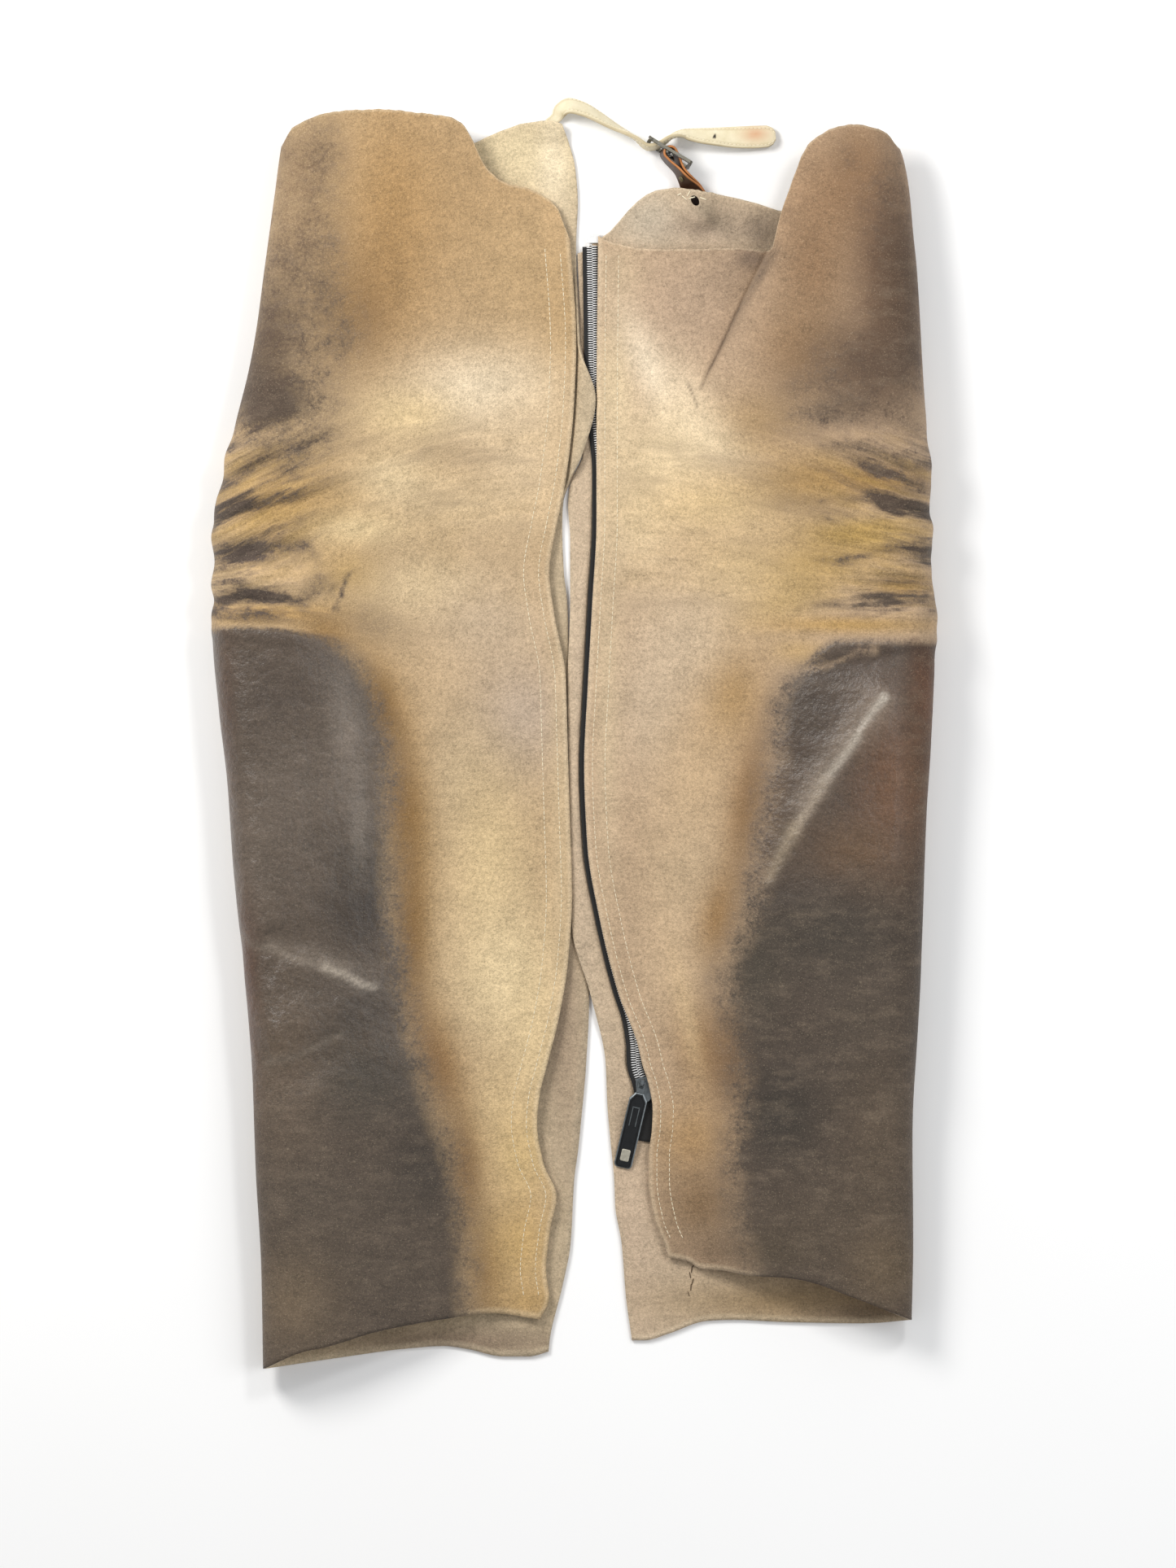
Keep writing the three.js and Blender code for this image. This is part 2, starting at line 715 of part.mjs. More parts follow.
// Turns a closed mesh so that its faces point out
function facing_out(geometry) {
  const p = geometry.getAttribute('position');
  const index = geometry.getIndex().array;
  const corner = (k) => new THREE.Vector3().fromBufferAttribute(p, index[k]);
  let volume = 0;
  for (let k = 0; k < index.length; k += 3) {
    volume += corner(k).dot(corner(k + 1).cross(corner(k + 2)));
  }
  if (volume < 0) {
    for (let k = 0; k < index.length; k += 3) {
      [index[k + 1], index[k + 2]] = [index[k + 2], index[k + 1]];
    }
  }
  return geometry;
}

// A flat band swept through sections, each with a centre, a width and a thickness
function band_solid(sections) {
  const positions = [];
  for (const section of sections) {
    const half_wide = section.across.clone().multiplyScalar(section.width / 2);
    const half_thick = section.through.clone().multiplyScalar(section.thickness / 2);
    for (const [a, b] of [[-1, -1], [1, -1], [1, 1], [-1, 1]]) {
      const point = section.centre.clone().addScaledVector(half_wide, a).addScaledVector(half_thick, b);
      positions.push(point.x, point.y, point.z);
    }
  }
  const index = [];
  for (let k = 0; k < sections.length - 1; k += 1) {
    for (let side = 0; side < 4; side += 1) {
      const a = 4 * k + side;
      const b = 4 * k + ((side + 1) % 4);
      index.push(a, b, b + 4, a, b + 4, a + 4);
    }
  }
  const end = 4 * (sections.length - 1);
  index.push(0, 2, 1, 0, 3, 2, end, end + 1, end + 2, end, end + 2, end + 3);
  return facing_out(closed_geometry(positions, index));
}

// Sections along a path of points, lying flat where roll is 0 and on edge at 90
function band_sections(points, width, thickness) {
  const last = points.length - 1;
  return points.map((row, k) => {
    const before = points[Math.max(0, k - 1)].place;
    const after = points[Math.min(last, k + 1)].place;
    const forward = after.clone().sub(before).normalize();
    const level = new THREE.Vector3(-forward.y, forward.x, 0).normalize();
    const upright = new THREE.Vector3().crossVectors(level, forward).negate().normalize();
    const roll = THREE.MathUtils.degToRad(row.roll ?? 0);
    const across = level.clone().multiplyScalar(Math.cos(roll)).addScaledVector(upright, Math.sin(roll));
    const through = new THREE.Vector3().crossVectors(forward, across).normalize();
    return { centre: row.place, across, through, width: width * (row.share ?? 1), thickness };
  });
}

// Solids for joining and cutting
function solid_of(geometry) {
  const bare = geometry.clone();
  bare.deleteAttribute('normal');
  bare.deleteAttribute('uv');
  const merged = BufferGeometryUtils.mergeVertices(bare, 1e-4);
  return new wasm.Manifold(new wasm.Mesh({
    numProp: 3,
    vertProperties: new Float32Array(merged.getAttribute('position').array),
    triVerts: new Uint32Array(merged.getIndex().array),
  }));
}

function geometry_of(solid) {
  const mesh = solid.getMesh();
  const positions = [];
  for (let k = 0; k < mesh.numVert; k += 1) {
    const start = k * mesh.numProp;
    positions.push(...mesh.vertProperties.slice(start, start + 3));
  }
  return closed_geometry(positions, [...mesh.triVerts]);
}

function joined(geometries) {
  return geometry_of(geometries.map(solid_of).reduce((sum, next) => sum.add(next)));
}

function cut(geometry, tools) {
  return geometry_of(tools.map(solid_of).reduce((rest, tool) => rest.subtract(tool), solid_of(geometry)));
}

const materials = {
  suede: new THREE.MeshStandardMaterial({ color: 0xb59a70, roughness: 0.9, metalness: 0 }),
  strap_leather: new THREE.MeshStandardMaterial({ color: 0xe0d2a4, roughness: 0.8, metalness: 0 }),
  zip_tape: new THREE.MeshStandardMaterial({ color: 0x1d1d1c, roughness: 0.9, metalness: 0 }),
  zip_metal: new THREE.MeshStandardMaterial({ color: 0xb9babb, roughness: 0.35, metalness: 1 }),
  puller_metal: new THREE.MeshStandardMaterial({ color: 0x2b2d2e, roughness: 0.4, metalness: 0.8 }),
  buckle_metal: new THREE.MeshStandardMaterial({ color: 0x9a9a94, roughness: 0.3, metalness: 1 }),
  tab_leather: new THREE.MeshStandardMaterial({ color: 0x3b2a20, roughness: 0.6, metalness: 0 }),
  rivet_brass: new THREE.MeshStandardMaterial({ color: 0x8a7a4c, roughness: 0.5, metalness: 1 }),
};

const chaps = new THREE.Group();

function add(name, geometry, material, parent = chaps) {
  const mesh = new THREE.Mesh(geometry, materials[material]);
  mesh.name = name;
  parent.add(mesh);
  return mesh;
}

// Points of a zip beside the chain's centre line, square to it, down to a height
const zip_rows = [
  zip_top, 0.865, 0.835, 0.805, 0.775, 0.75, 0.728, 0.712, 0.695, 0.67, 0.64, 0.61, 0.58, 0.55,
  0.51, 0.46, 0.41, 0.37, 0.34, 0.31, 0.292, 0.275, 0.258, 0.24, 0.232,
];

function zip_point(leg, along, sideways) {
  const nudge = 0.004;
  const rise = read(chain_rise_rows, 'along', 'rise', along) * slider_rise;
  const z = chain_level + rise;
  const here = place(leg, { out: chain_out(leg, along), along, z });
  const above = place(leg, { out: chain_out(leg, along + nudge), along: along + nudge, z });
  const below = place(leg, { out: chain_out(leg, along - nudge), along: along - nudge, z });
  const run = above.sub(below).normalize();
  const square = new THREE.Vector3(run.y, -run.x, 0).multiplyScalar(leg.side);
  return here.addScaledVector(square, sideways);
}

function zip_line(leg, rows, sideways) {
  return rows.map((along) => ({ place: zip_point(leg, along, sideways), roll: 0 }));
}

function add_zip(leg, prefix) {
  const half = teeth_width / 2 + seat_gap;
  const tail = slider_at - (slider_length * 0.25) / leg_length;
  const teeth_rows = [...zip_rows, tail];
  const tape_rows = [...zip_rows, tail, 0.205, 0.19, zip_end];
  const add_band = (name, rows, sideways, width, height, material) => {
    const sections = band_sections(zip_line(leg, rows, sideways), width, height);
    add(`${prefix}_zip_${name}`, band_solid(sections), material);
  };
  const front = half + front_tape_width / 2;
  const back = -half - back_tape_width / 2;
  add_band('teeth', teeth_rows, 0, teeth_width, teeth_height, 'zip_metal');
  add_band('front_tape', tape_rows, front, front_tape_width, tape_height, 'zip_tape');
  add_band('back_tape', tape_rows, back, back_tape_width, tape_height, 'zip_tape');
}

function box(width, length, height, x, y, z) {
  return new THREE.BoxGeometry(width, length, height).translate(x, y, z);
}

// The slider's own frame: origin on the chain's middle below the puller's pivot,
// y up the zip, with the plates reaching down from there
function slider_frame(leg) {
  const low = zip_point(leg, slider_at - 0.012, 0);
  const here = zip_point(leg, slider_at, 0);
  const up = here.clone().sub(low);
  const group = new THREE.Group();
  group.position.copy(here);
  group.rotation.z = Math.atan2(-up.x, up.y);
  return group;
}

const plate_gap = teeth_height + 2 * 0.25;
const slider_top = plate_gap / 2 + slider_plate;

function slider_plates() {
  const centre = -slider_length * 0.3;
  const level = (plate_gap + slider_plate) / 2;
  const half = slider_width / 2;
  const outline = new THREE.Shape();
  outline.moveTo(-half * 0.75, slider_length / 2);
  outline.lineTo(half * 0.75, slider_length / 2);
  outline.lineTo(half, slider_length * 0.1);
  outline.lineTo(half, -slider_length * 0.3);
  outline.quadraticCurveTo(0, -slider_length * 0.7, -half, -slider_length * 0.3);
  outline.lineTo(-half, slider_length * 0.1);
  outline.closePath();
  const plate = new THREE.ExtrudeGeometry(outline, { depth: slider_plate, bevelEnabled: false, curveSegments: 6 });
  const top = plate.clone().translate(0, centre, level - slider_plate / 2);
  const bottom = plate.clone().translate(0, centre, -level - slider_plate / 2);
  const post = box(slider_post, slider_post, plate_gap + slider_plate, 0, centre - slider_length * 0.18, 0);
  return [top, bottom, post];
}

// The puller lies on the slider's tail and on the guard leather at its tip
const slider_floor = chain_level + slider_rise;
const tail_reach = slider_length * 0.8;
const puller_slope = (slider_floor + slider_top - leather) / (puller_length - tail_reach);
const pivot_rise = slider_top + seat_gap + tail_reach * puller_slope + puller_plate / 2;
const pivot_clear = Math.hypot(puller_bar, puller_plate / 2) + running_gap;

function slider_arch() {
  const outer = pivot_clear + arch_wire;
  const foot = slider_top - slider_plate / 2;
  const head = pivot_rise + outer;
  const side = new THREE.Shape();
  side.moveTo(-outer, foot);
  side.lineTo(-outer, head - arch_wire);
  side.lineTo(-outer + arch_wire, head);
  side.lineTo(outer - arch_wire, head);
  side.lineTo(outer, head - arch_wire);
  side.lineTo(outer, foot);
  side.lineTo(pivot_clear, foot);
  side.lineTo(pivot_clear, head - arch_wire);
  side.lineTo(-pivot_clear, head - arch_wire);
  side.lineTo(-pivot_clear, foot);
  side.closePath();
  const arch = new THREE.ExtrudeGeometry(side, { depth: arch_width, bevelEnabled: false });
  return arch.translate(0, 0, -arch_width / 2).rotateX(Math.PI / 2).rotateZ(Math.PI / 2);
}

function puller_outline() {
  const neck = puller_neck / 2;
  const half = puller_width / 2;
  const shoulder = puller_length * 0.12;
  const full = puller_length * 0.2;
  const corner = puller_width * 0.22;
  const outline = new THREE.Shape();
  outline.moveTo(-neck, puller_bar);
  outline.lineTo(neck, puller_bar);
  outline.lineTo(neck, -shoulder);
  outline.lineTo(half, -full);
  outline.lineTo(half, -puller_length + corner);
  outline.quadraticCurveTo(half, -puller_length, half - corner, -puller_length);
  outline.lineTo(-half + corner, -puller_length);
  outline.quadraticCurveTo(-half, -puller_length, -half, -puller_length + corner);
  outline.lineTo(-half, -full);
  outline.lineTo(-neck, -shoulder);
  outline.closePath();
  const hole_side = arch_width / 2 + running_gap;
  const hole_end = Math.hypot(pivot_clear + arch_wire, pivot_clear + arch_wire) + running_gap;
  const hole = new THREE.Path();
  hole.moveTo(-hole_side, -puller_bar);
  hole.lineTo(-hole_side, -hole_end);
  hole.lineTo(hole_side, -hole_end);
  hole.lineTo(hole_side, -puller_bar);
  hole.closePath();
  outline.holes.push(hole);
  return outline;
}

function add_slider(leg, prefix, with_puller) {
  const frame = slider_frame(leg);
  chaps.add(frame);
  const pieces = slider_plates();
  if (!with_puller) {
    add(`${prefix}_zip_slider`, joined(pieces), 'zip_metal', frame);
    return;
  }
  const swing = new THREE.Group();
  swing.position.copy(frame.position);
  swing.position.z += pivot_rise;
  swing.rotation.z = THREE.MathUtils.degToRad(-puller_turn);
  const arch = slider_arch().rotateZ(swing.rotation.z - frame.rotation.z);
  add(`${prefix}_zip_slider`, joined([...pieces, arch]), 'zip_metal', frame);
  const plate = new THREE.ExtrudeGeometry(puller_outline(), { depth: puller_plate, bevelEnabled: false, curveSegments: 4 });
  plate.translate(0, 0, -puller_plate / 2).rotateX(Math.atan(puller_slope));
  add(`${prefix}_zip_pull`, plate, 'puller_metal', swing);
  chaps.add(swing);
}

function add_box(leg, prefix) {
  const here = zip_point(leg, zip_top, 0);
  const middle = here.y + 2 * seat_gap + box_length / 2;
  const level = leather + seat_gap + box_height / 2;
  const block = box(box_width, box_length, box_height, here.x, middle, level);
  add(`${prefix}_zip_box`, block, 'zip_metal');
}

// Where the strap leaves the left leg, and where the buckle's middle lies from there
const strap_root = place(left_leg, { out: 0.072 * leg_reach, along: 0.9885, z: 0 });
const buckle_place = { east: 0.531, south: 0.131 };
const buckle_level = (buckle_width / 2) * Math.sin(THREE.MathUtils.degToRad(buckle_tilt)) + buckle_thickness / 2 + seat_gap;
const buckle_centre = new THREE.Vector3(
  strap_root.x + buckle_place.east * strap_span,
  strap_root.y - buckle_place.south * strap_span,
  buckle_level,
);

// The buckle's directions: along it, out of its face and up across its width
const heading = THREE.MathUtils.degToRad(buckle_heading);
const tilt = THREE.MathUtils.degToRad(buckle_tilt);
const buckle_along = new THREE.Vector3(Math.cos(heading), Math.sin(heading), 0);
const level_north = new THREE.Vector3(-Math.sin(heading), Math.cos(heading), 0);
const buckle_up = level_north.clone().multiplyScalar(Math.cos(tilt)).add(new THREE.Vector3(0, 0, Math.sin(tilt)));
const buckle_face = new THREE.Vector3().crossVectors(buckle_along, buckle_up).normalize();

function by_buckle(along, out, up) {
  return buckle_centre.clone().addScaledVector(buckle_along, along)
    .addScaledVector(buckle_face, -out).addScaledVector(buckle_up, up);
}

function in_buckle(geometry) {
  const turn = new THREE.Matrix4().makeBasis(buckle_along, buckle_up, buckle_face);
  return geometry.applyMatrix4(turn.setPosition(buckle_centre));
}

function buckle_frame() {
  const wide = buckle_length / 2;
  const high = buckle_width / 2;
  const bend = buckle_corner;
  const outline = new THREE.Shape();
  outline.moveTo(-wide + bend, -high);
  outline.lineTo(wide - bend, -high);
  outline.quadraticCurveTo(wide, -high, wide, -high + bend);
  outline.lineTo(wide, high - bend);
  outline.quadraticCurveTo(wide, high, wide - bend, high);
  outline.lineTo(-wide + bend, high);
  outline.quadraticCurveTo(-wide, high, -wide, high - bend);
  outline.lineTo(-wide, -high + bend);
  outline.quadraticCurveTo(-wide, -high, -wide + bend, -high);
  const far = wide - buckle_rail;
  const top = high - buckle_rail;
  const window = new THREE.Path();
  window.moveTo(-far, -top);
  window.lineTo(-far, top);
  window.lineTo(far, top);
  window.lineTo(far, -top);
  window.closePath();
  outline.holes.push(window);
  const loop = new THREE.ExtrudeGeometry(outline, { depth: buckle_thickness, bevelEnabled: false, curveSegments: 4 });
  const bar = box(buckle_bar, 2 * high - buckle_rail, buckle_thickness, 0, 0, 0);
  return in_buckle(joined([loop.translate(0, 0, -buckle_thickness / 2), bar]));
}

// The prong rests on the end bar's far face and turns on the centre bar by its eye
const end_bar = buckle_length / 2 - buckle_rail / 2;
const prong_rest = buckle_thickness / 2 + seat_gap + prong_radius;

function rod(from, to, radius, sides) {
  const run = to.clone().sub(from);
  const shape = new THREE.CylinderGeometry(radius, radius, run.length(), sides);
  const turn = new THREE.Quaternion().setFromUnitVectors(new THREE.Vector3(0, 1, 0), run.clone().normalize());
  return shape.applyQuaternion(turn).translate(...from.clone().addScaledVector(run, 0.5).toArray());
}

function prong_rod(extra) {
  const root = by_buckle(-(eye_radius - 0.6), 0.5, 0);
  const rest = by_buckle(-end_bar + buckle_rail / 2, prong_rest, 0);
  const tip = root.clone().lerp(rest, 1.25);
  return rod(root, tip, prong_radius + extra, 10);
}

function buckle_prong() {
  const hole = Math.hypot(buckle_bar, buckle_thickness) / 2 + seat_gap;
  const ring = new THREE.Shape();
  ring.absarc(0, 0, eye_radius, 0, Math.PI * 2);
  const inside = new THREE.Path();
  inside.absarc(0, 0, hole, 0, Math.PI * 2, true);
  ring.holes.push(inside);
  const eye = new THREE.ExtrudeGeometry(ring, { depth: eye_height, bevelEnabled: false, curveSegments: 8 });
  eye.translate(0, 0, -eye_height / 2).rotateX(-Math.PI / 2);
  return joined([in_buckle(eye), prong_rod(0)]);
}

// The strap's way: rows of its plan as shares of strap_span from its root, the roll of
// its face, and the share of its full width. The rows through the buckle come between:
// along is a share of buckle_length from its middle, out is in thicknesses of the strap
const strap_start = [
  { east: 0.000, north: 0.000, roll: 0, share: 0.42 },
  { east: 0.036, north: 0.029, roll: 5, share: 0.48 },
  { east: 0.058, north: 0.063, roll: 34, share: 0.72 },
  { east: 0.093, north: 0.079, roll: 52, share: 1 },
  { east: 0.151, north: 0.065, roll: 57, share: 1 },
  { east: 0.205, north: 0.038, roll: 65, share: 1 },
  { east: 0.262, north: 0.004, roll: 73, share: 1 },
  { east: 0.316, north: -0.027, roll: 82, share: 1 },
];
const strap_threading = [
  { along: -0.700, out: -0.95, roll: 95, share: 1 },
  { along: -0.425, out: -1.20, roll: 102, share: 1 },
  { along: -0.265, out: 0.47, roll: 102, share: 0.95 },
  { along: -0.138, out: 3.38, roll: 96, share: 1 },
];
const strap_free_end = [
  { east: 0.596, north: -0.047, roll: 70, share: 1 },
  { east: 0.675, north: -0.053, roll: 52, share: 1 },
  { east: 0.740, north: -0.057, roll: 42, share: 1 },
  { east: 0.812, north: -0.060, roll: 26, share: 1 },
  { east: 0.901, north: -0.059, roll: 12, share: 1 },
  { east: 0.965, north: -0.056, roll: 8, share: 0.96 },
  { east: 0.990, north: -0.055, roll: 8, share: 0.72 },
  { east: 1.000, north: -0.055, roll: 8, share: 0.40 },
];

function strap_height(roll, share) {
  const turn = THREE.MathUtils.degToRad(roll);
  const low = (strap_width * share / 2) * Math.sin(turn) + (strap_thickness / 2) * Math.cos(turn);
  return low + 2 * seat_gap;
}

function strap_points() {
  const in_plan = (row) => ({
    place: new THREE.Vector3(
      strap_root.x + row.east * strap_span,
      strap_root.y + row.north * strap_span,
      strap_height(row.roll, row.share),
    ),
    roll: row.roll,
    share: row.share,
  });
  const threaded = strap_threading.map((row) => {
    const spot = by_buckle(0, 0, 0).addScaledVector(buckle_along, row.along * buckle_length);
    spot.addScaledVector(level_north, row.out * strap_thickness);
    return { place: spot, roll: row.roll, share: row.share };
  });
  return [...strap_start.map(in_plan), ...threaded, ...strap_free_end.map(in_plan)];
}

// Adds points between rows on one smooth curve
function refined(points, between) {
  const curve = new THREE.CatmullRomCurve3(points.map((row) => row.place), false, 'centripetal');
  const fine = [];
  const last = points.length - 1;
  for (let k = 0; k < last; k += 1) {
    for (let step = 0; step < between; step += 1) {
      const share = step / between;
      fine.push({
        place: curve.getPoint((k + share) / last),
        roll: mix(points[k].roll, points[k + 1].roll, share),
        share: mix(points[k].share, points[k + 1].share, share),
      });
    }
  }
  fine.push(points[last]);
  return fine;
}

// A strap's raised edge is on its near side, so its roll is turned the other way
function strap_geometry() {
  const points = refined(strap_points(), 2).map((row) => ({ ...row, roll: -row.roll }));
  const band = band_solid(band_sections(points, strap_width, strap_thickness));
  return cut(band, [prong_rod(seat_gap)]);
}

// The tab: one strip of leather folded round the prong's eye, both ends under the leather
// of the right leg. run goes from the bar to the tail as a share of the whole.
const tab_rolls = [
  { run: 0.00, roll: 78 },
  { run: 0.30, roll: 70 },
  { run: 0.45, roll: 58 },
  { run: 0.68, roll: 18 },
  { run: 0.85, roll: 4 },
  { run: 1.00, roll: 0 },
];
const tab_stations = [1, 0.9, 0.8, 0.7, 0.6, 0.5, 0.4, 0.3, 0.2, 0.1];
const tab_loop_angles = [0, 36, 72, 108, 144, 180];
const tab_edge = place(right_leg, { out: 0.331 * leg_reach, along: 0.933, z: 0 });
const tab_run = tab_edge.clone().setZ(0).sub(buckle_centre.clone().setZ(0));
const tab_length = tab_run.length() + tab_tail;
const tab_forward = tab_run.clone().normalize();
const tab_left = new THREE.Vector3(-tab_forward.y, tab_forward.x, 0);
const loop_radius = eye_radius + 2 * seat_gap + tab_leather / 2;
const layer_gap = tab_leather / 2 + seat_gap / 2;

function tab_frame(run) {
  const roll = THREE.MathUtils.degToRad(read(tab_rolls, 'run', 'roll', run));
  const low = (tab_width / 2) * Math.sin(roll) + (tab_leather + seat_gap) * Math.cos(roll) + seat_gap / 2;
  const high = mix(buckle_level, low, ease(0.36, 0.60, run));
  const centre = buckle_centre.clone().setZ(0).addScaledVector(tab_forward, run * tab_length);
  centre.z = Math.max(high, low);
  const across = tab_left.clone().multiplyScalar(Math.cos(roll)).add(new THREE.Vector3(0, 0, Math.sin(roll)));
  const through = new THREE.Vector3().crossVectors(tab_forward, across).normalize();
  return { centre, across, through };
}

function tab_section(run, side) {
  const frame = tab_frame(run);
  const apart = mix(loop_radius, layer_gap, ease(0, 0.34, run));
  const centre = frame.centre.clone().addScaledVector(frame.through, side * apart);
  return { centre, across: frame.across, through: frame.through, width: tab_width, thickness: tab_leather };
}

function tab_sections() {
  const upper = tab_stations.map((run) => tab_section(run, 1));
  const lower = [...tab_stations].reverse().map((run) => {
    const section = tab_section(run, -1);
    section.through.negate();
    return section;
  });
  const bar = tab_frame(0);
  const loop = tab_loop_angles.map((angle) => {
    const turn = THREE.MathUtils.degToRad(angle);
    const through = bar.through.clone().multiplyScalar(Math.cos(turn))
      .addScaledVector(tab_forward, -Math.sin(turn));
    const centre = bar.centre.clone().addScaledVector(through, loop_radius);
    return { centre, across: bar.across, through, width: tab_width, thickness: tab_leather };
  });
  return [...upper, ...loop, ...lower];
}

function tab_rivet() {
  const profile = [
    new THREE.Vector2(0, 0),
    new THREE.Vector2(rivet_radius, 0),
    new THREE.Vector2(rivet_radius * 0.9, rivet_height * 0.6),
    new THREE.Vector2(rivet_radius * 0.5, rivet_height * 0.95),
    new THREE.Vector2(0, rivet_height),
  ];
  const head = new THREE.LatheGeometry(profile, 14);
  const section = tab_section(0.42, 1);
  const face = section.centre.clone().addScaledVector(section.through, tab_leather / 2 + 2 * seat_gap);
  const turn = new THREE.Quaternion().setFromUnitVectors(new THREE.Vector3(0, 1, 0), section.through);
  return head.applyQuaternion(turn).translate(...face.toArray());
}

// The worn hole through the right leg's back layer over the tab's tail
function tab_hole() {
  const here = place(right_leg, { out: 0.333 * leg_reach, along: 0.9275, z: 0 });
  const pin = new THREE.CylinderGeometry(1, 1, crown_height, 14).rotateX(Math.PI / 2);
  pin.scale(tab_hole_width / 2, tab_hole_length / 2, 1).rotateZ(0.5);
  return pin.translate(here.x, here.y, crown_height / 2 - leather);
}

add('left_leg_panel', thick_sheet(leg_grid(left_leg), leather), 'suede');
add('right_leg_panel', cut(thick_sheet(leg_grid(right_leg), leather), [tab_hole()]), 'suede');
add_zip(left_leg, 'left');
add_zip(right_leg, 'right');
add_slider(left_leg, 'left', false);
add_slider(right_leg, 'right', true);
add_box(right_leg, 'right');
add('waist_strap', strap_geometry(), 'strap_leather');
add('buckle_frame', buckle_frame(), 'buckle_metal');
add('buckle_prong', buckle_prong(), 'buckle_metal');
add('buckle_tab', cut(band_solid(tab_sections()), [prong_rod(seat_gap)]), 'tab_leather');
add('tab_rivet', tab_rivet(), 'rivet_brass');

// The origin goes to the middle of the footprint, on the floor
chaps.updateMatrixWorld(true);
const bounds = new THREE.Box3().setFromObject(chaps, true);
const centre = bounds.getCenter(new THREE.Vector3());
chaps.position.set(-centre.x, -centre.y, -bounds.min.z);
chaps.updateMatrixWorld(true);

export default chaps;
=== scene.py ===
# %% [markdown]
# # Leather riding chaps on a pale floor
# Two long leather legs lie on their backs, zipped shut, and a strap and buckle join them
# at the waist. The imported CAD model gives every place and size. Here the plain solids
# get their real look: soft worn hide, a metal zip, threads, cut edges and a cream strap.
#
# The first cell imports the model as the frame and keeps its parts.

# %% Load the frame
import json
import math

import bmesh
import bpy
import numpy as np
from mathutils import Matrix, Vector


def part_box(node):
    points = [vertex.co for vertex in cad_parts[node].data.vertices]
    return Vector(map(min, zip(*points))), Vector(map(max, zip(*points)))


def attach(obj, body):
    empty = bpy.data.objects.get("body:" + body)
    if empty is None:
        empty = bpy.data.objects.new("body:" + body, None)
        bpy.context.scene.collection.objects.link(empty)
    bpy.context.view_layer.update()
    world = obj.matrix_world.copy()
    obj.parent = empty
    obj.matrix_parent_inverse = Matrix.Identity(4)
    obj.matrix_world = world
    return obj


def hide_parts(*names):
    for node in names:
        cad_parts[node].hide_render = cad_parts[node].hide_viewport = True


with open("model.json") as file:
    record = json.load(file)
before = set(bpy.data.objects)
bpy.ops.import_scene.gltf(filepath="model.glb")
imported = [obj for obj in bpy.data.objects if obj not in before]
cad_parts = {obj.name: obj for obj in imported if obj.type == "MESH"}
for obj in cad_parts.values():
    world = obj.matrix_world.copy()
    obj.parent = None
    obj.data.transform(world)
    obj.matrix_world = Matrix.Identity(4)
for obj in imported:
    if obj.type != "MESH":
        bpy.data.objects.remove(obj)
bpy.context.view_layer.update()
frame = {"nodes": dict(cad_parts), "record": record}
MM = 0.001

# %% [markdown]
# The leather's form follows the same few rows of numbers as the solids: where the outer
# fold, the two free edges, the waist and the hem run. A smooth line through the rows
# that never overshoots them gives every other place. Lengths are shares of the leg's
# length and reach, so one row reads as "at this share up the leg, that share out".

# %% Sizes and the smooth reader
LEG_LENGTH, LEG_REACH, LEATHER = 1006.0, 289.0, 2.2
CROWN, FOLD_RADIUS = 50.0, 26.0
TEETH_WIDTH, TEETH_HEIGHT = 9.6, 2.2
BACK_TAPE, FRONT_TAPE, TAPE_THICK = 2.6, 12.0, 0.8
SLIDER_RISE, SLIDER_TOP = 1.25, 2.35
SEAT = 0.3                       # the gap between pieces that touch
CHAIN_LEVEL = LEATHER + SEAT + TEETH_HEIGHT / 2
EDGE_LEVEL = CHAIN_LEVEL + TEETH_HEIGHT / 2 + 0.6 + LEATHER / 2
PIXEL = 0.65                     # millimetres that one pixel of the photo covers
PHOTO_X, PHOTO_Y = 706.0, 908.2  # the photo's pixel over the legs' own origin
PHOTO_WIDTH, PHOTO_HEIGHT = 1445, 1927


def read(rows, where):
    """A smooth line through (place, value) rows, flat beyond its ends."""
    x = np.array([r[0] for r in rows], float)
    y = np.array([r[1] for r in rows], float)
    where = np.clip(np.asarray(where, float), x[0], x[-1])
    step = np.diff(x)
    slope = np.diff(y) / step
    tangent = np.empty_like(x)
    tangent[0], tangent[-1] = slope[0], slope[-1]
    product = slope[:-1] * slope[1:]
    total = slope[:-1] + slope[1:]
    safe = np.where(product > 0, total, 1.0)
    tangent[1:-1] = np.where(product > 0, 2 * product / safe, 0.0)
    i = np.clip(np.searchsorted(x, where, side="right") - 1, 0, len(x) - 2)
    t = (where - x[i]) / step[i]
    return ((2 * t**3 - 3 * t**2 + 1) * y[i] + (t**3 - 2 * t**2 + t) * step[i] * tangent[i]
            + (3 * t**2 - 2 * t**3) * y[i + 1] + (t**3 - t**2) * step[i] * tangent[i + 1])


def ease(low, high, value):
    """0 below low, 1 above high, and a soft step between."""
    share = np.clip((value - low) / (high - low), 0, 1)
    return share * share * (3 - 2 * share)


CROWN_ROWS = [(0, .70), (.1, .78), (.3, .92), (.5, 1), (.62, .96), (.75, 1), (.9, .92), (1, .84)]
FRONT_LIFT = [(.15, 0), (.2, 1.2), (.227, 1.4), (.25, 1.2), (.3, 0)]
CHAIN_RISE = [(.185, 0), (.205, 1), (.24, 1), (.275, 0)]
BAND = [(0, 0), (.73, .22), (1.46, 0), (1.9, -.36), (2.6, -.22)]

# %% [markdown]
# Each leg has its own rows. A fold is a soft ridge or a valley between two places, each
# given as (share up the leg, share in from the outer fold), with a rise in thicknesses of
# leather and a breadth. The leather is crushed most beside the knee, at the outer side. A
# cloth simulation could fold it too, but not in the places where the photo shows it.

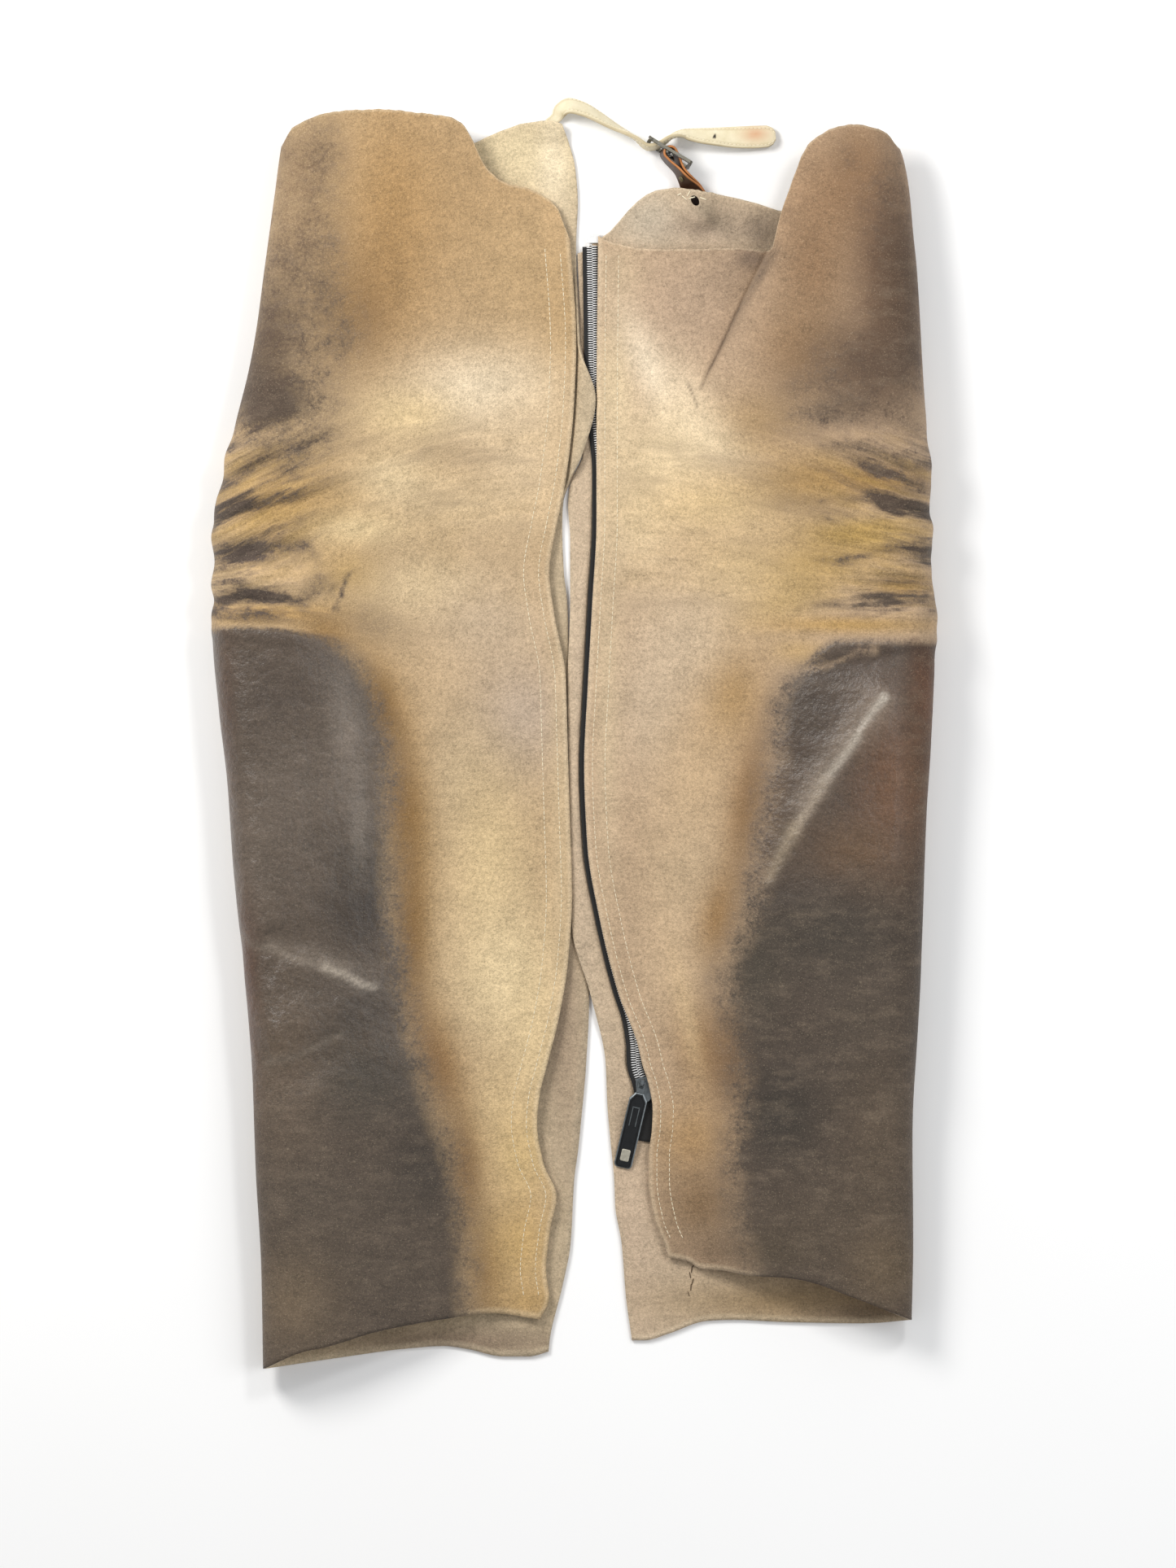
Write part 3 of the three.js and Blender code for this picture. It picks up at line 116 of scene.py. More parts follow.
# %% The rows of each leg
LEFT = {
    "side": -1, "inset_size": 9.0, "inset": [(0, 1), (1, 1)],
    "fold": [(0, .861), (.079, .866), (.156, .881), (.247, .893), (.331, .92), (.4, .944), (.466, .96),
        (.525, .984), (.583, 1), (.673, 1), (.69, .985), (.712, .972), (.751, .937), (.796, .898),
        (.83, .877), (.867, .86), (.932, .829), (.968, .812), (.985, .799)],
    "front": [(.039, .097), (.056, .07), (.078, .079), (.11, .068), (.137, .05), (.163, .086),
        (.195, .104), (.217, .097), (.238, .079), (.282, .041), (.324, .018), (.376, .007),
        (.441, .0135), (.505, .02), (.55, .025), (.599, .056), (.632, .07), (.673, .047), (.705, .025),
        (.764, .002), (.815, -.0045), (.899, .0135)],
    "back": [(.0136, .072), (.0245, .068), (.065, .034), (.0995, .011), (.15, .001), (.174, -.01),
        (.2, -.019), (.238, -.031), (.2965, -.0405), (.35, .002), (.441, .0045), (.57, .016),
        (.609, .0205), (.634, .03), (.667, .034), (.688, .032), (.705, .0135), (.725, -.02),
        (.77, -.0586), (.815, -.0135), (.893, -.0045), (.925, -.009), (.953, -.002), (.99, .036)],
    "front_top": [(0, .896), (.02, .909), (.042, .922), (.083, .93), (.139, .937), (.195, .94),
        (.236, .9435), (.277, .951), (.305, .9595), (.333, .972), (.388, .99), (.437, .9945),
        (.55, .9976), (.66, 1), (.8, .999), (.9, .9945), (.943, .99), (.977, .985), (1, .97)],
    "back_top": [(0, .988), (.03, .991), (.147, .9885), (.265, .9795), (.338, .9735), (.56, .972),
        (.853, .974), (1, .97)],
    "front_hem": [(0, .039), (.185, .044), (.36, .039), (.595, .029), (.77, .0174), (.862, .013), (1, 0)],
    "back_hem": [(0, .0136), (.066, .0097), (.16, .0097), (.282, .0155), (.368, .018), (.52, .0155),
        (.707, .0097), (1, 0)],
    "crease": [(0, .5), (1, .5)], "step": [(0, 0), (1, 0)],
    "guard_rise": [(0, 0), (1, 0)],
    "guard_lift": [(.68, 0), (.715, 2.4), (.77, 3.1), (.82, 3.1), (.88, 0)],
    "bump": (.0585, .99, 6.1, 16, 16),
    "folds": [
        (.741, .02, .756, .22, -.9, .9), (.725, 0, .748, .28, 1.3, 1), (.707, 0, .742, .3, -1.2, 1),
        (.689, 0, .712, .4, 1.3, 1), (.672, 0, .691, .26, -1.1, .9), (.661, 0, .684, .34, 1.3, .9),
        (.641, 0, .654, .28, -1.3, 1), (.622, 0, .627, .36, 1.3, .9), (.61, 0, .608, .28, -1.2, .8),
        (.598, 0, .594, .3, 1.1, .8), (.586, 0, .577, .32, .9, .7), (.7, .7, .62, .94, .6, 1.2),
        (.575, .22, .47, .46, 1.2, 3), (.262, .1, .312, .48, 1.4, 2.4), (.235, .12, .275, .52, -1, 2.4),
        (.33, .03, .355, .3, -.8, 1.8),
        (.717, .04, .738, .24, .35, .4), (.699, .02, .722, .3, -.4, .4), (.68, .02, .70, .3, .35, .4),
        (.652, .02, .664, .3, .4, .4), (.632, .02, .64, .26, -.35, .4), (.616, .04, .616, .3, .35, .35),
        (.629, .36, .622, .40, -.8, .35), (.622, .37, .606, .352, -.9, .3), (.69, .55, .66, .78, .3, .5),
        (.74, .5, .73, .8, .35, .9), (.71, .45, .70, .7, .3, .8), (.35, .05, .362, .22, .4, .6),
        (.29, .3, .33, .5, .5, .8), (.31, .06, .345, .2, -.4, .6), (.22, .2, .25, .42, .4, .9)],
}
RIGHT = {
    "side": 1, "inset_size": 4.0,
    "inset": [(.18, -1.3), (.235, -1.3), (.258, -.4), (.29, 1), (.71, 1), (.776, -.4), (.83, -.8),
        (.896, -1.25)],
    "fold": [(.04, .932), (.1, .936), (.182, .934), (.311, .957), (.441, .973), (.49, .984),
        (.537, .991), (.583, 1), (.641, .989), (.699, .986), (.776, .966), (.873, .946), (.901, .936),
        (.933, .926), (.958, .911), (.974, .892)],
    "front": [(.0885, .257), (.0975, .25), (.1176, .223), (.15, .205), (.169, .205), (.19, .214),
        (.206, .216), (.2267, .204), (.24, .189), (.26, .172), (.298, .1216), (.357, .07), (.415, .036),
        (.479, .027), (.537, .036), (.609, .0495), (.673, .061), (.764, .061), (.899, .0653)],
    "back": [(.024, .158), (.057, .142), (.0995, .13), (.1286, .1125), (.15, .1095), (.18, .0995),
        (.21, .0905), (.242, .086), (.298, .043), (.35, -.007), (.441, -.0135), (.544, -.019),
        (.609, -.0124), (.66, -.0125), (.686, -.018), (.705, -.01), (.715, .008), (.725, .0225),
        (.77, .0225), (.815, .017), (.886, .008)],
    "front_top": [(0, .899), (.065, .893), (.17, .889), (.3, .889), (.43, .89), (.545, .8875),
        (.585, .917), (.64, .948), (.675, .964), (.735, .978), (.79, .985), (.85, .988), (.89, .9873),
        (.932, .985), (.967, .981), (1, .968)],
    "back_top": [(0, .885), (.02, .888), (.052, .8945), (.087, .9005), (.117, .9085), (.146, .9175),
        (.176, .926), (.205, .932), (.25, .936), (.313, .9375), (.359, .936), (.423, .9325),
        (.487, .929), (.564, .9235), (.64, .918), (.77, .918), (.9, .941), (1, .968)],
    "front_hem": [(0, .0885), (.087, .085), (.131, .0795), (.225, .078), (.332, .074), (.493, .072),
        (.6, .068), (.728, .059), (.87, .0485), (1, .0388)],
    "back_hem": [(0, .0226), (.047, .0226), (.137, .028), (.278, .038), (.371, .0388), (.56, .037),
        (.84, .036), (1, .0388)],
    "crease": [(.55, .5), (.7, .38), (.77, .328), (.815, .4), (.854, .473), (.8875, .545)],
    "step": [(.77, 0), (.8, .35), (.8875, 1)],
    "guard_rise": [(.15, 0), (.17, 0), (.195, .45), (.22, .73), (.67, .73), (.7, 0)],
    "guard_lift": [(.26, 0), (.29, 1.2), (.61, 1.2), (.64, 0)],
    "bump": (.338, .929, 12, 19, 24),
    "folds": [
        (.719, 0, .736, .25, 1.2, 1), (.738, .02, .752, .26, -1, 1.2), (.688, 0, .707, .34, -1.2, 1),
        (.7, .08, .692, .46, 1.2, 1), (.678, 0, .668, .22, -1.2, .8), (.668, 0, .664, .17, 1.2, .8),
        (.642, 0, .653, .32, -1.1, .8), (.634, .04, .63, .44, 1.3, 1), (.628, 0, .598, .4, -1.1, 1),
        (.598, 0, .586, .42, 1.2, 1), (.578, 0, .568, .38, .9, .7), (.568, .02, .55, .42, -.9, 1.4),
        (.53, .12, .39, .46, 2, 2.8), (.33, .1, .3, .5, -.8, 2.4), (.25, .1, .22, .55, .9, 2.6),
        (.728, .02, .742, .22, .35, .4), (.71, .02, .725, .3, -.35, .4), (.66, .02, .648, .3, .35, .4),
        (.645, .1, .64, .4, -.35, .4), (.62, .02, .61, .3, .35, .4), (.606, .05, .595, .36, -.35, .4),
        (.589, .05, .577, .34, .35, .35), (.71, .5, .70, .8, .3, .8), (.73, .62, .75, .8, .3, .7),
        (.69, .62, .68, .9, .25, .7), (.36, .3, .33, .6, .35, .8), (.27, .6, .31, .74, .35, .6),
        (.25, .62, .28, .72, -.3, .5)],
}
print("folds:", len(LEFT["folds"]) + len(RIGHT["folds"]))

# %% [markdown]
# The middle surface of one leg is a grid. Its columns go from the free back edge over the
# lip beside the zip, along the floor, round the outer fold and over the front to the
# stitched front edge. Modelling the wall this way, and not with a cloth simulation, keeps
# every free edge where the photo shows it. Slow waves and a slight tremble of the cut
# edges keep the hide from looking moulded.

# %% The leather's middle surface
def out_of(leg, line, along):
    return read(leg[line], along) * LEG_REACH


def chain_out(leg, along):
    return out_of(leg, "front", along) + read(leg["inset"], along) * leg["inset_size"]


def fold_out(leg, along):
    return out_of(leg, "fold", along) - LEATHER / 2


def lip_foot(leg, along):
    foot = chain_out(leg, along) - TEETH_WIDTH / 2 - BACK_TAPE - 4 * SEAT
    return np.maximum(foot, out_of(leg, "back", along) + 4)


def back_height(leg, along, out):
    beyond = lip_foot(leg, along) - out
    edge = read(leg["guard_lift"], along) * LEATHER * ease(0, 6, beyond)
    rise = read(leg["guard_rise"], along) * LEATHER
    lip = rise * ease(0, 1.4, beyond) * (1 - ease(3, 6, beyond))
    bump_out, bump_along, bump_rise, wide, deep = leg["bump"]
    away = ((out - bump_out * LEG_REACH) / wide) ** 2 + ((along - bump_along) * LEG_LENGTH / deep) ** 2
    return LEATHER / 2 + edge + lip + bump_rise * np.exp(-away * away)


def wrinkle(leg, along, across):
    """How far the leg's soft folds lift the leather, in millimetres."""
    total = np.zeros(np.broadcast(along, across).shape)
    for y0, x0, y1, x1, rise, spread in leg["folds"]:
        run_y, run_x = (y1 - y0) * LEG_LENGTH, (x1 - x0) * LEG_REACH
        y, x = (along - y0) * LEG_LENGTH, (across - x0) * LEG_REACH
        share = np.clip((x * run_x + y * run_y) / (run_x**2 + run_y**2), 0, 1)
        far = np.hypot(x - share * run_x, y - share * run_y) / (spread * 9)
        total = total + rise * LEATHER * (1 - .7 * share) * np.exp(-far * far)
    return total


def slow_wave(leg, along, across):
    """Shallow dents of a hide that has been worn and laid down."""
    y, x = along * LEG_LENGTH, across * LEG_REACH * 1.1 + 50 * leg["side"]
    return (.55 * np.sin(x / 31 + y / 67 + 1) * np.sin(y / 43 - x / 59)
            + .35 * np.sin(x / 17 - y / 29) * np.sin(y / 23 + x / 41 + 2)
            + .16 * np.sin(x / 8.5 + y / 13) * np.sin(y / 9.5 - x / 15 + 1))


def leg_columns(leg):
    """(function of along giving out and z, waist rows, hem rows, free edge) of each column."""
    def back(inner, share):
        def place(along):
            edge, foot = out_of(leg, "back", along), lip_foot(leg, along)
            if inner:
                out = foot + (fold_out(leg, along) - FOLD_RADIUS - foot) * share
            else:
                out = edge + (foot - edge) * share
            return out, back_height(leg, along, out)
        return place, "back_top", "back_hem", "back"

    def arc(turn):
        def place(along):
            crown, low = read(CROWN_ROWS, along) * CROWN, LEATHER / 2
            fold, edge = fold_out(leg, along), out_of(leg, "front", along)
            across = max(0, math.sin(turn)) * (1 - math.cos(turn)) * FOLD_RADIUS / (fold - edge)
            proud = wrinkle(leg, along, across) * (1 + math.sin(turn)) / 2
            proud = proud * (1 + .5 * max(0, math.sin(turn)))
            out = fold + (math.cos(turn) - 1) * FOLD_RADIUS + proud * math.cos(turn)
            return out, (crown + low) / 2 + math.sin(turn) * ((crown - low) / 2 + proud)
        layer = "back" if turn < 0 else "front"
        return place, layer + "_top", layer + "_hem", layer

    def band(inward):
        def place(along):
            out = out_of(leg, "front", along) + inward * TEETH_WIDTH
            lift = read(FRONT_LIFT, along) * LEATHER
            return out, EDGE_LEVEL + lift + read(BAND, inward) * LEATHER
        return place, "front_top", "front_hem", "front"

    def front(station):
        def place(along):
            edge, fold = out_of(leg, "front", along), fold_out(leg, along)
            band_out, band_z = band(BAND[-1][0])[0](along)
            inner, crown = fold - FOLD_RADIUS, read(CROWN_ROWS, along) * CROWN
            crease = (edge + (fold - edge) * read(leg["crease"], along) - band_out) / (inner - band_out)
            if station < .5:
                share, stepped = station * 2 * crease, .12 * station
            else:
                share = crease + (1 - crease) * (station * 2 - 1)
                stepped = .72 + .28 * math.sin((station - .5) * math.pi)
            smooth = np.sin(share * math.pi / 2) ** 1.2
            rise = smooth + (stepped - smooth) * read(leg["step"], along)
            out = band_out + (inner - band_out) * share
            across = (fold - out) / (fold - edge)
            fade = np.minimum(1, share * 5)
            relief = wrinkle(leg, along, across) * 1.5 + slow_wave(leg, along, across)
            return out, band_z + (crown - band_z) * rise + relief * fade * ease(0, .12, 1 - share * .9)
        return place, "front_top", "front_hem", "front"

    below = [back(False, s) for s in (0, .25, .5, .7, .82, .92)] + [back(True, s) for s in BACK_SHARES]
    around = [arc(math.radians(t)) for t in np.linspace(-90, 90, 21)[1:]]
    over = [front(s) for s in FRONT_SHARES]
    edge_band = [band(i) for i in np.linspace(BAND[-1][0], 0, 12)[1:]]
    return below + around + over + edge_band, len(below)


BACK_SHARES = np.concatenate([np.linspace(0, .25, 9), np.linspace(.27, .36, 5), np.linspace(.37, .44, 12),
                              np.linspace(.46, 1, 9)])
FRONT_SHARES = np.concatenate([np.linspace(.97, .53, 30), np.linspace(.515, .485, 4),
                               np.linspace(.47, .01, 32)])
ROW_SHARES = np.unique(np.concatenate([np.linspace(0, .56, 168), np.linspace(.56, .78, 100),
                                       np.linspace(.78, .965, 64), np.linspace(.965, 1, 30)]))


def leg_surface(leg):
    """Points of the middle surface as an array (columns, rows, 3), in millimetres."""
    columns, back_end = leg_columns(leg)
    grid, alongs = [], []
    for index, (place, top_rows, hem_rows, free_edge) in enumerate(columns):
        ends = []
        for rows, guess in ((leg[top_rows], .95), (leg[hem_rows], .03)):
            along = np.array([guess])
            for _ in range(8):
                edge = out_of(leg, free_edge, along)
                across = (place(along)[0] - edge) / (fold_out(leg, along) - edge)
                along = read(rows, across)
            ends.append(along[0])
        shake = .25 * math.sin(index * 1.9) + .2 * math.sin(index * .83 + 1)
        ends[0] += shake / LEG_LENGTH
        along = ends[1] + (ends[0] - ends[1]) * ROW_SHARES
        out, z = place(along)
        grid.append(np.stack([leg["side"] * out, (along - .5) * LEG_LENGTH, z], axis=-1))
        alongs.append(along)
    return np.array(grid), np.array(alongs), back_end


left_grid = leg_surface(LEFT)
right_grid = leg_surface(RIGHT)
print("grid of each leg:", left_grid[0].shape, right_grid[0].shape)

# %% [markdown]
# The solids were moved so that the origin is in the middle of the footprint. The same
# move is found by laying this surface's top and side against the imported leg's box.

# %% The move from the legs' own origin to the frame
left_box, right_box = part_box("left_leg_panel"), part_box("right_leg_panel")
move_x = right_box[1].x / MM - (right_grid[0][..., 0].max() + LEATHER / 2)
move_y = left_box[1].y / MM - left_grid[0][..., 1].max()
MOVE = np.array([move_x, move_y, 0.0])
print("move in millimetres:", MOVE.round(2))

# %% [markdown]
# A shader's sums are easier to read as Python. One small class wraps a socket and lets
# +, -, * and / add Math nodes, and one method makes any other node. Colours go through
# Mix nodes. The same graph class builds the Geometry Nodes further down.

# %% Nodes as expressions
class Graph:
    """Makes the nodes of one tree."""

    def __init__(self, tree):
        self.tree = tree

    def node(self, kind, settings=None, **inputs):
        made = self.tree.nodes.new(kind)
        for key, value in (settings or {}).items():
            if key == "stops":
                ramp = made.color_ramp
                while len(ramp.elements) < len(value):
                    ramp.elements.new(0.5)
                for element, (place, colour) in zip(ramp.elements, value):
                    element.position = place
                    element.color = colour
            else:
                setattr(made, key, value)
        for key, value in inputs.items():
            name = key.replace("_", " ")
            socket = made.inputs[int(key[1:])] if key[1:].isdigit() else made.inputs[name]
            self.feed(socket, value)
        return made

    def feed(self, socket, value):
        if isinstance(value, Socket):
            self.tree.links.new(value.socket, socket)
        elif isinstance(value, bpy.types.NodeSocket):
            self.tree.links.new(value, socket)
        else:
            socket.default_value = value

    def value(self, kind, output=0, settings=None, **inputs):
        return Socket(self, self.node(kind, settings, **inputs).outputs[output])


class Socket:
    """A number in a tree that can be added, multiplied and so on."""

    def __init__(self, graph, socket):
        self.graph, self.socket = graph, socket

    def sum(self, operation, first, second, clamp=False):
        settings = {"operation": operation, "use_clamp": clamp}
        return self.graph.value("ShaderNodeMath", 0, settings, i0=first, i1=second)

    def __add__(self, other): return self.sum("ADD", self, other)
    def __radd__(self, other): return self.sum("ADD", other, self)
    def __sub__(self, other): return self.sum("SUBTRACT", self, other)
    def __rsub__(self, other): return self.sum("SUBTRACT", other, self)
    def __mul__(self, other): return self.sum("MULTIPLY", self, other)
    def __rmul__(self, other): return self.sum("MULTIPLY", other, self)
    def clamped(self): return self.sum("ADD", self, 0.0, clamp=True)


def paint(code):
    """A linear colour from a hex code."""
    parts = [int(code[k:k + 2], 16) / 255 for k in (1, 3, 5)]
    return (*[c / 12.92 if c < .04045 else ((c + .055) / 1.055) ** 2.4 for c in parts], 1.0)


def new_material(name, **fixed):
    """A material with its principled shader; fixed gives the constant sockets."""
    material = bpy.data.materials.new(name)
    material.use_nodes = True
    graph = Graph(material.node_tree)
    shader = material.node_tree.nodes["Principled BSDF"]
    for key, value in fixed.items():
        shader.inputs[key.replace("_", " ")].default_value = value
    return material, graph, shader


def noise(graph, scale, detail=3.0, rough=.6, where=None):
    where = where or graph.value("ShaderNodeTexCoord", "Object")
    return graph.value("ShaderNodeTexNoise", 0, None, Vector=where, Scale=scale, Detail=detail,
                       Roughness=rough)


def blend_colours(graph, share, first, second, how="MIX"):
    made = graph.node("ShaderNodeMix", {"data_type": "RGBA", "blend_type": how, "clamp_factor": True})
    graph.feed(made.inputs[0], share)
    graph.feed(made.inputs[6], first)
    graph.feed(made.inputs[7], second)
    return Socket(graph, made.outputs[2])


def bump(graph, height, distance, strength):
    return graph.value("ShaderNodeBump", 0, None, Height=height, Distance=distance, Strength=strength)


def stored(graph, name, output="Fac"):
    """A value or colour that is kept on the mesh's points."""
    return graph.value("ShaderNodeAttribute", output, {"attribute_name": name})


# %% [markdown]
# The hide's colour was worn into it. Broad soft patches are charted as ellipses
# in the photo's own pixels: centre, half sizes, turn, colour and strength. One chart
# paints the clean hide with a few patches of painted shadow and painted highlight, one
# the dirt and saddle polish with painted highlights, and rows of soft lines give the
# dark bottoms of the knee's folds, which is painted shade. They are stored on the mesh
# as attributes, and the shader frays their borders and adds the grain.

# %% Charts of the clean hide, with some painted shadow and highlight
LEFT["hide"] = [
    (560, 250, 170, 160, 0, "#A98E66", .9), (480, 260, 60, 150, 0, "#9F7F50", .7),
    (450, 380, 60, 90, 0, "#8A6C42", .7), (640, 330, 70, 90, 0, "#B0976F", .7),
    (690, 420, 30, 90, 0, "#A88E64", .6), (590, 480, 90, 50, 0, "#DCCDAE", .9),
    (500, 510, 60, 35, 0, "#CDB88C", .8), (640, 560, 60, 90, 0, "#CBB794", .8),
    (480, 590, 50, 35, 0, "#D3C19A", .8), (560, 620, 80, 40, 0, "#C6B28C", .6),
    (350, 620, 90, 60, 0, "#A08350", .8), (440, 650, 55, 22, 0, "#CFBB90", .8),
    (430, 705, 40, 30, 0, "#B2955F", .7), (330, 755, 80, 14, 0, "#977A4A", .8),
    (400, 780, 40, 30, 0, "#866838", .8), (520, 720, 70, 40, 0, "#CBB891", .7),
    (600, 760, 80, 60, 0, "#BBA98D", .7), (640, 880, 70, 80, 0, "#AB9D8C", .7),
    (560, 950, 50, 80, 0, "#B2A07F", .6), (470, 870, 30, 70, -15, "#84642F", .9),
    (500, 1000, 30, 90, -5, "#8A6A38", .9), (508, 1140, 26, 110, 0, "#816130", .9),
    (540, 1300, 30, 80, -15, "#86653A", .9), (575, 1430, 24, 80, 0, "#82633A", .8),
    (600, 1560, 26, 70, 0, "#886B42", .8), (600, 1060, 50, 120, 0, "#CBB68A", .8),
    (620, 1200, 60, 90, 0, "#D6C399", .9), (655, 1290, 40, 90, 0, "#CDB98E", .7),
    (610, 1350, 30, 50, 0, "#CBB488", .7), (640, 1420, 40, 60, 0, "#C2AA78", .8),
    (640, 1530, 40, 60, 0, "#B89C66", .8), (650, 1600, 40, 25, 0, "#AD905C", .7),
    (690, 1000, 14, 300, 0, "#C3B08C", .5),
]
RIGHT["hide"] = [
    # Painted shadow: (900, 340) here and (925, 318) further down darken the front where the raised fold
    # throws its shadow to the left.
    (840, 380, 110, 100, 0, "#A8937A", .8), (900, 340, 40, 50, 0, "#917E67", .6),
    (760, 330, 30, 40, 0, "#B9A686", .6), (755, 480, 26, 90, 0, "#CFBD98", .8),
    # Painted highlight: (800, 455), (862, 535) and (850, 500) are the light on the V beside that raised
    # fold.
    (800, 455, 22, 70, -24, "#DDD0B4", .7), (862, 535, 70, 24, 24, "#DCCDAE", .6),
    (850, 500, 30, 70, -25, "#D4C5A6", .6), (1030, 240, 80, 90, 0, "#8C7051", .85),
    (1060, 200, 30, 50, 0, "#93734F", .6), (1090, 330, 40, 110, 0, "#6B503B", .85),
    (1000, 330, 50, 80, 0, "#816648", .8), (980, 430, 60, 70, 0, "#826848", .8),
    (1070, 450, 60, 60, 0, "#69523E", .8), (930, 520, 50, 40, 0, "#9C8259", .7),
    (820, 560, 70, 60, 0, "#D2C09A", .85), (780, 640, 50, 80, 0, "#CAB792", .8),
    (880, 620, 90, 40, 0, "#C4AE82", .8), (1000, 590, 80, 40, 0, "#967A48", .8),
    (1080, 590, 60, 20, 0, "#8A6D3C", .8), (1060, 655, 80, 22, 0, "#A3884C", .85),
    (1000, 690, 90, 30, -10, "#A68A50", .8), (1110, 720, 40, 20, 0, "#8A6D33", .7),
    (960, 740, 80, 30, -20, "#AE935B", .7), (900, 700, 80, 50, 0, "#C2AB7E", .7),
    (1040, 768, 110, 10, 0, "#AE8F58", .9), (980, 800, 34, 16, 0, "#B99C68", .7),
    (850, 790, 80, 80, 0, "#BDAB8E", .8), (800, 880, 50, 90, 0, "#B6A68C", .6),
    (900, 860, 40, 70, 15, "#997C4D", .8), (860, 960, 60, 90, 0, "#B39C78", .7),
    (915, 1000, 26, 110, 10, "#82633A", .85), (840, 1080, 60, 90, 0, "#B39F7E", .7),
    (880, 1130, 24, 60, 15, "#8A6B3F", .8), (830, 1200, 40, 70, -10, "#BCA684", .7),
    (865, 1290, 36, 60, -8, "#92754E", .85), (845, 1250, 12, 80, -12, "#C6AE86", .6),
    (900, 1300, 30, 60, 0, "#7A5F41", .7), (850, 1400, 50, 50, 0, "#A08153", .7),
    (860, 1480, 50, 50, 0, "#786041", .8), (880, 1540, 60, 30, 0, "#78654E", .8),
    # Painted shadow: (925, 318), under the top of the raised fold.
    (745, 850, 16, 250, 0, "#C2B08E", .6), (925, 318, 22, 14, 0, "#6E5F50", .8),
]
LEFT["inside"] = [
    (640, 190, 110, 60, 0, "#C9BA94", .9), (680, 200, 20, 60, 0, "#DACDAE", .6),
    (700, 1300, 30, 160, 0, "#A08D74", .7), (560, 1650, 150, 20, 0, "#7E6C58", .8),
    # Painted shade: (690, 1250) darkens the strip beside the zip where the left leg's edge shades it.
    (690, 1250, 14, 90, 8, "#8B7963", .6),
]
RIGHT["inside"] = [
    (800, 270, 40, 34, 0, "#AFA58F", .8), (870, 280, 60, 24, 0, "#A08F7A", .7),
    # Painted shadow: (940, 284) is the shadow that the raised front throws on the back layer, and (870,
    # 262) the shade in a wrinkle.
    (940, 284, 26, 26, 20, "#5A4E40", .7), (870, 262, 10, 40, -40, "#857963", .6),
    (715, 900, 20, 330, 0, "#B9A78C", .8), (775, 1500, 40, 140, 0, "#BBA78C", .8),
    (960, 1600, 150, 30, 0, "#917C59", .9), (1060, 1615, 60, 16, 0, "#6E5E48", .7),
]
LEFT["base"], RIGHT["base"] = ("#B39C78", "#584C42", "#B0A082"), ("#AD977A", "#54483F", "#B3A185")
print("clean patches:", len(LEFT["hide"]) + len(RIGHT["hide"]))

# %% [markdown]
# The dirt has its own colours: warm brown high on the thighs, nearly black where the
# calf was rubbed, grey where it was polished, with painted sheen there. The glints are
# painted highlights, bright streaks of reflected light. Rub gives the border of the big
# worn zone as places on the photo's rows; smoke adds soft dark clouds, and lines add
# painted shade in the fold bottoms and along the right thigh's raised fold.

# %% Charts of the dirt, the painted highlights and the painted fold shade
LEFT["soot"] = [
    (360, 230, 60, 110, 0, "#7B644E", .9), (335, 400, 60, 110, 0, "#5C4B3E", .8),
    (300, 560, 60, 60, 0, "#574940", .8), (330, 690, 70, 60, 0, "#534742", .8),
    # Painted sheen and highlights on the polished calf: the grey patches at (380, 980), (425, 905), (442,
    # 1010) and (400, 1180).
    (340, 860, 60, 50, 0, "#473D36", .8), (380, 980, 90, 100, 0, "#675C53", .9),
    (440, 860, 30, 80, 0, "#4E443A", .6), (450, 1060, 50, 50, 0, "#41382F", .8),
    (440, 1120, 50, 50, 0, "#38302A", .9), (360, 1090, 60, 60, 0, "#5E534A", .7),
    (420, 1240, 90, 60, 0, "#50473F", .7), (440, 1330, 80, 50, 0, "#474037", .8),
    (350, 1330, 50, 120, 0, "#68594B", .8), (520, 1440, 50, 60, 0, "#423A33", .9),
    (400, 1480, 80, 60, 0, "#594E44", .8), (360, 1600, 60, 60, 0, "#786753", .8),
    (480, 1570, 70, 60, 0, "#574C42", .7), (300, 1250, 16, 150, 0, "#5C3A28", .9),
    (276, 930, 12, 150, 0, "#573D2F", .6), (425, 905, 20, 70, -6, "#8C827A", .5),
    (442, 1010, 12, 60, 0, "#8C837B", .45), (310, 1060, 22, 70, 0, "#6F655C", .5),
    (400, 1180, 60, 14, 18, "#857A70", .45),
]
RIGHT["soot"] = [
    (1060, 840, 80, 60, 0, "#4D423A", .8), (1136, 850, 18, 60, 0, "#6A4630", .8),
    (1000, 880, 50, 70, 0, "#493F37", .8), (960, 980, 40, 80, 0, "#57473A", .7),
    (1100, 960, 50, 100, 0, "#70513B", .95), (1050, 1050, 50, 40, 0, "#6B533E", .9),
    (1020, 1150, 100, 60, 0, "#474039", .9), (930, 1200, 40, 70, 0, "#494239", .8),
    (1060, 1260, 70, 80, 0, "#52483F", .8), (960, 1370, 60, 70, 0, "#3D3731", .9),
    (1080, 1420, 50, 120, 0, "#635547", .8), (1000, 1500, 80, 60, 0, "#594D41", .8),
    (940, 1540, 60, 30, 0, "#574B3D", .8), (1090, 1560, 50, 50, 0, "#72614C", .7),
    (1080, 350, 60, 160, 0, "#634D3C", .8), (1080, 600, 60, 60, 0, "#514339", .8),
]
LEFT["smoke"] = [
    (425, 400, 40, 50, 0, .35), (300, 470, 50, 60, 0, .6), (350, 180, 46, 50, 0, .35),
    (360, 560, 60, 26, -20, .4), (470, 770, 40, 20, 20, .3),
    (352, 240, 50, 110, 0, .5), (340, 400, 60, 110, 0, .8), (400, 330, 26, 80, 0, .35),
    (398, 200, 26, 60, 0, .4), (345, 500, 60, 34, -10, .65), (420, 860, 30, 60, -10, .5),
]
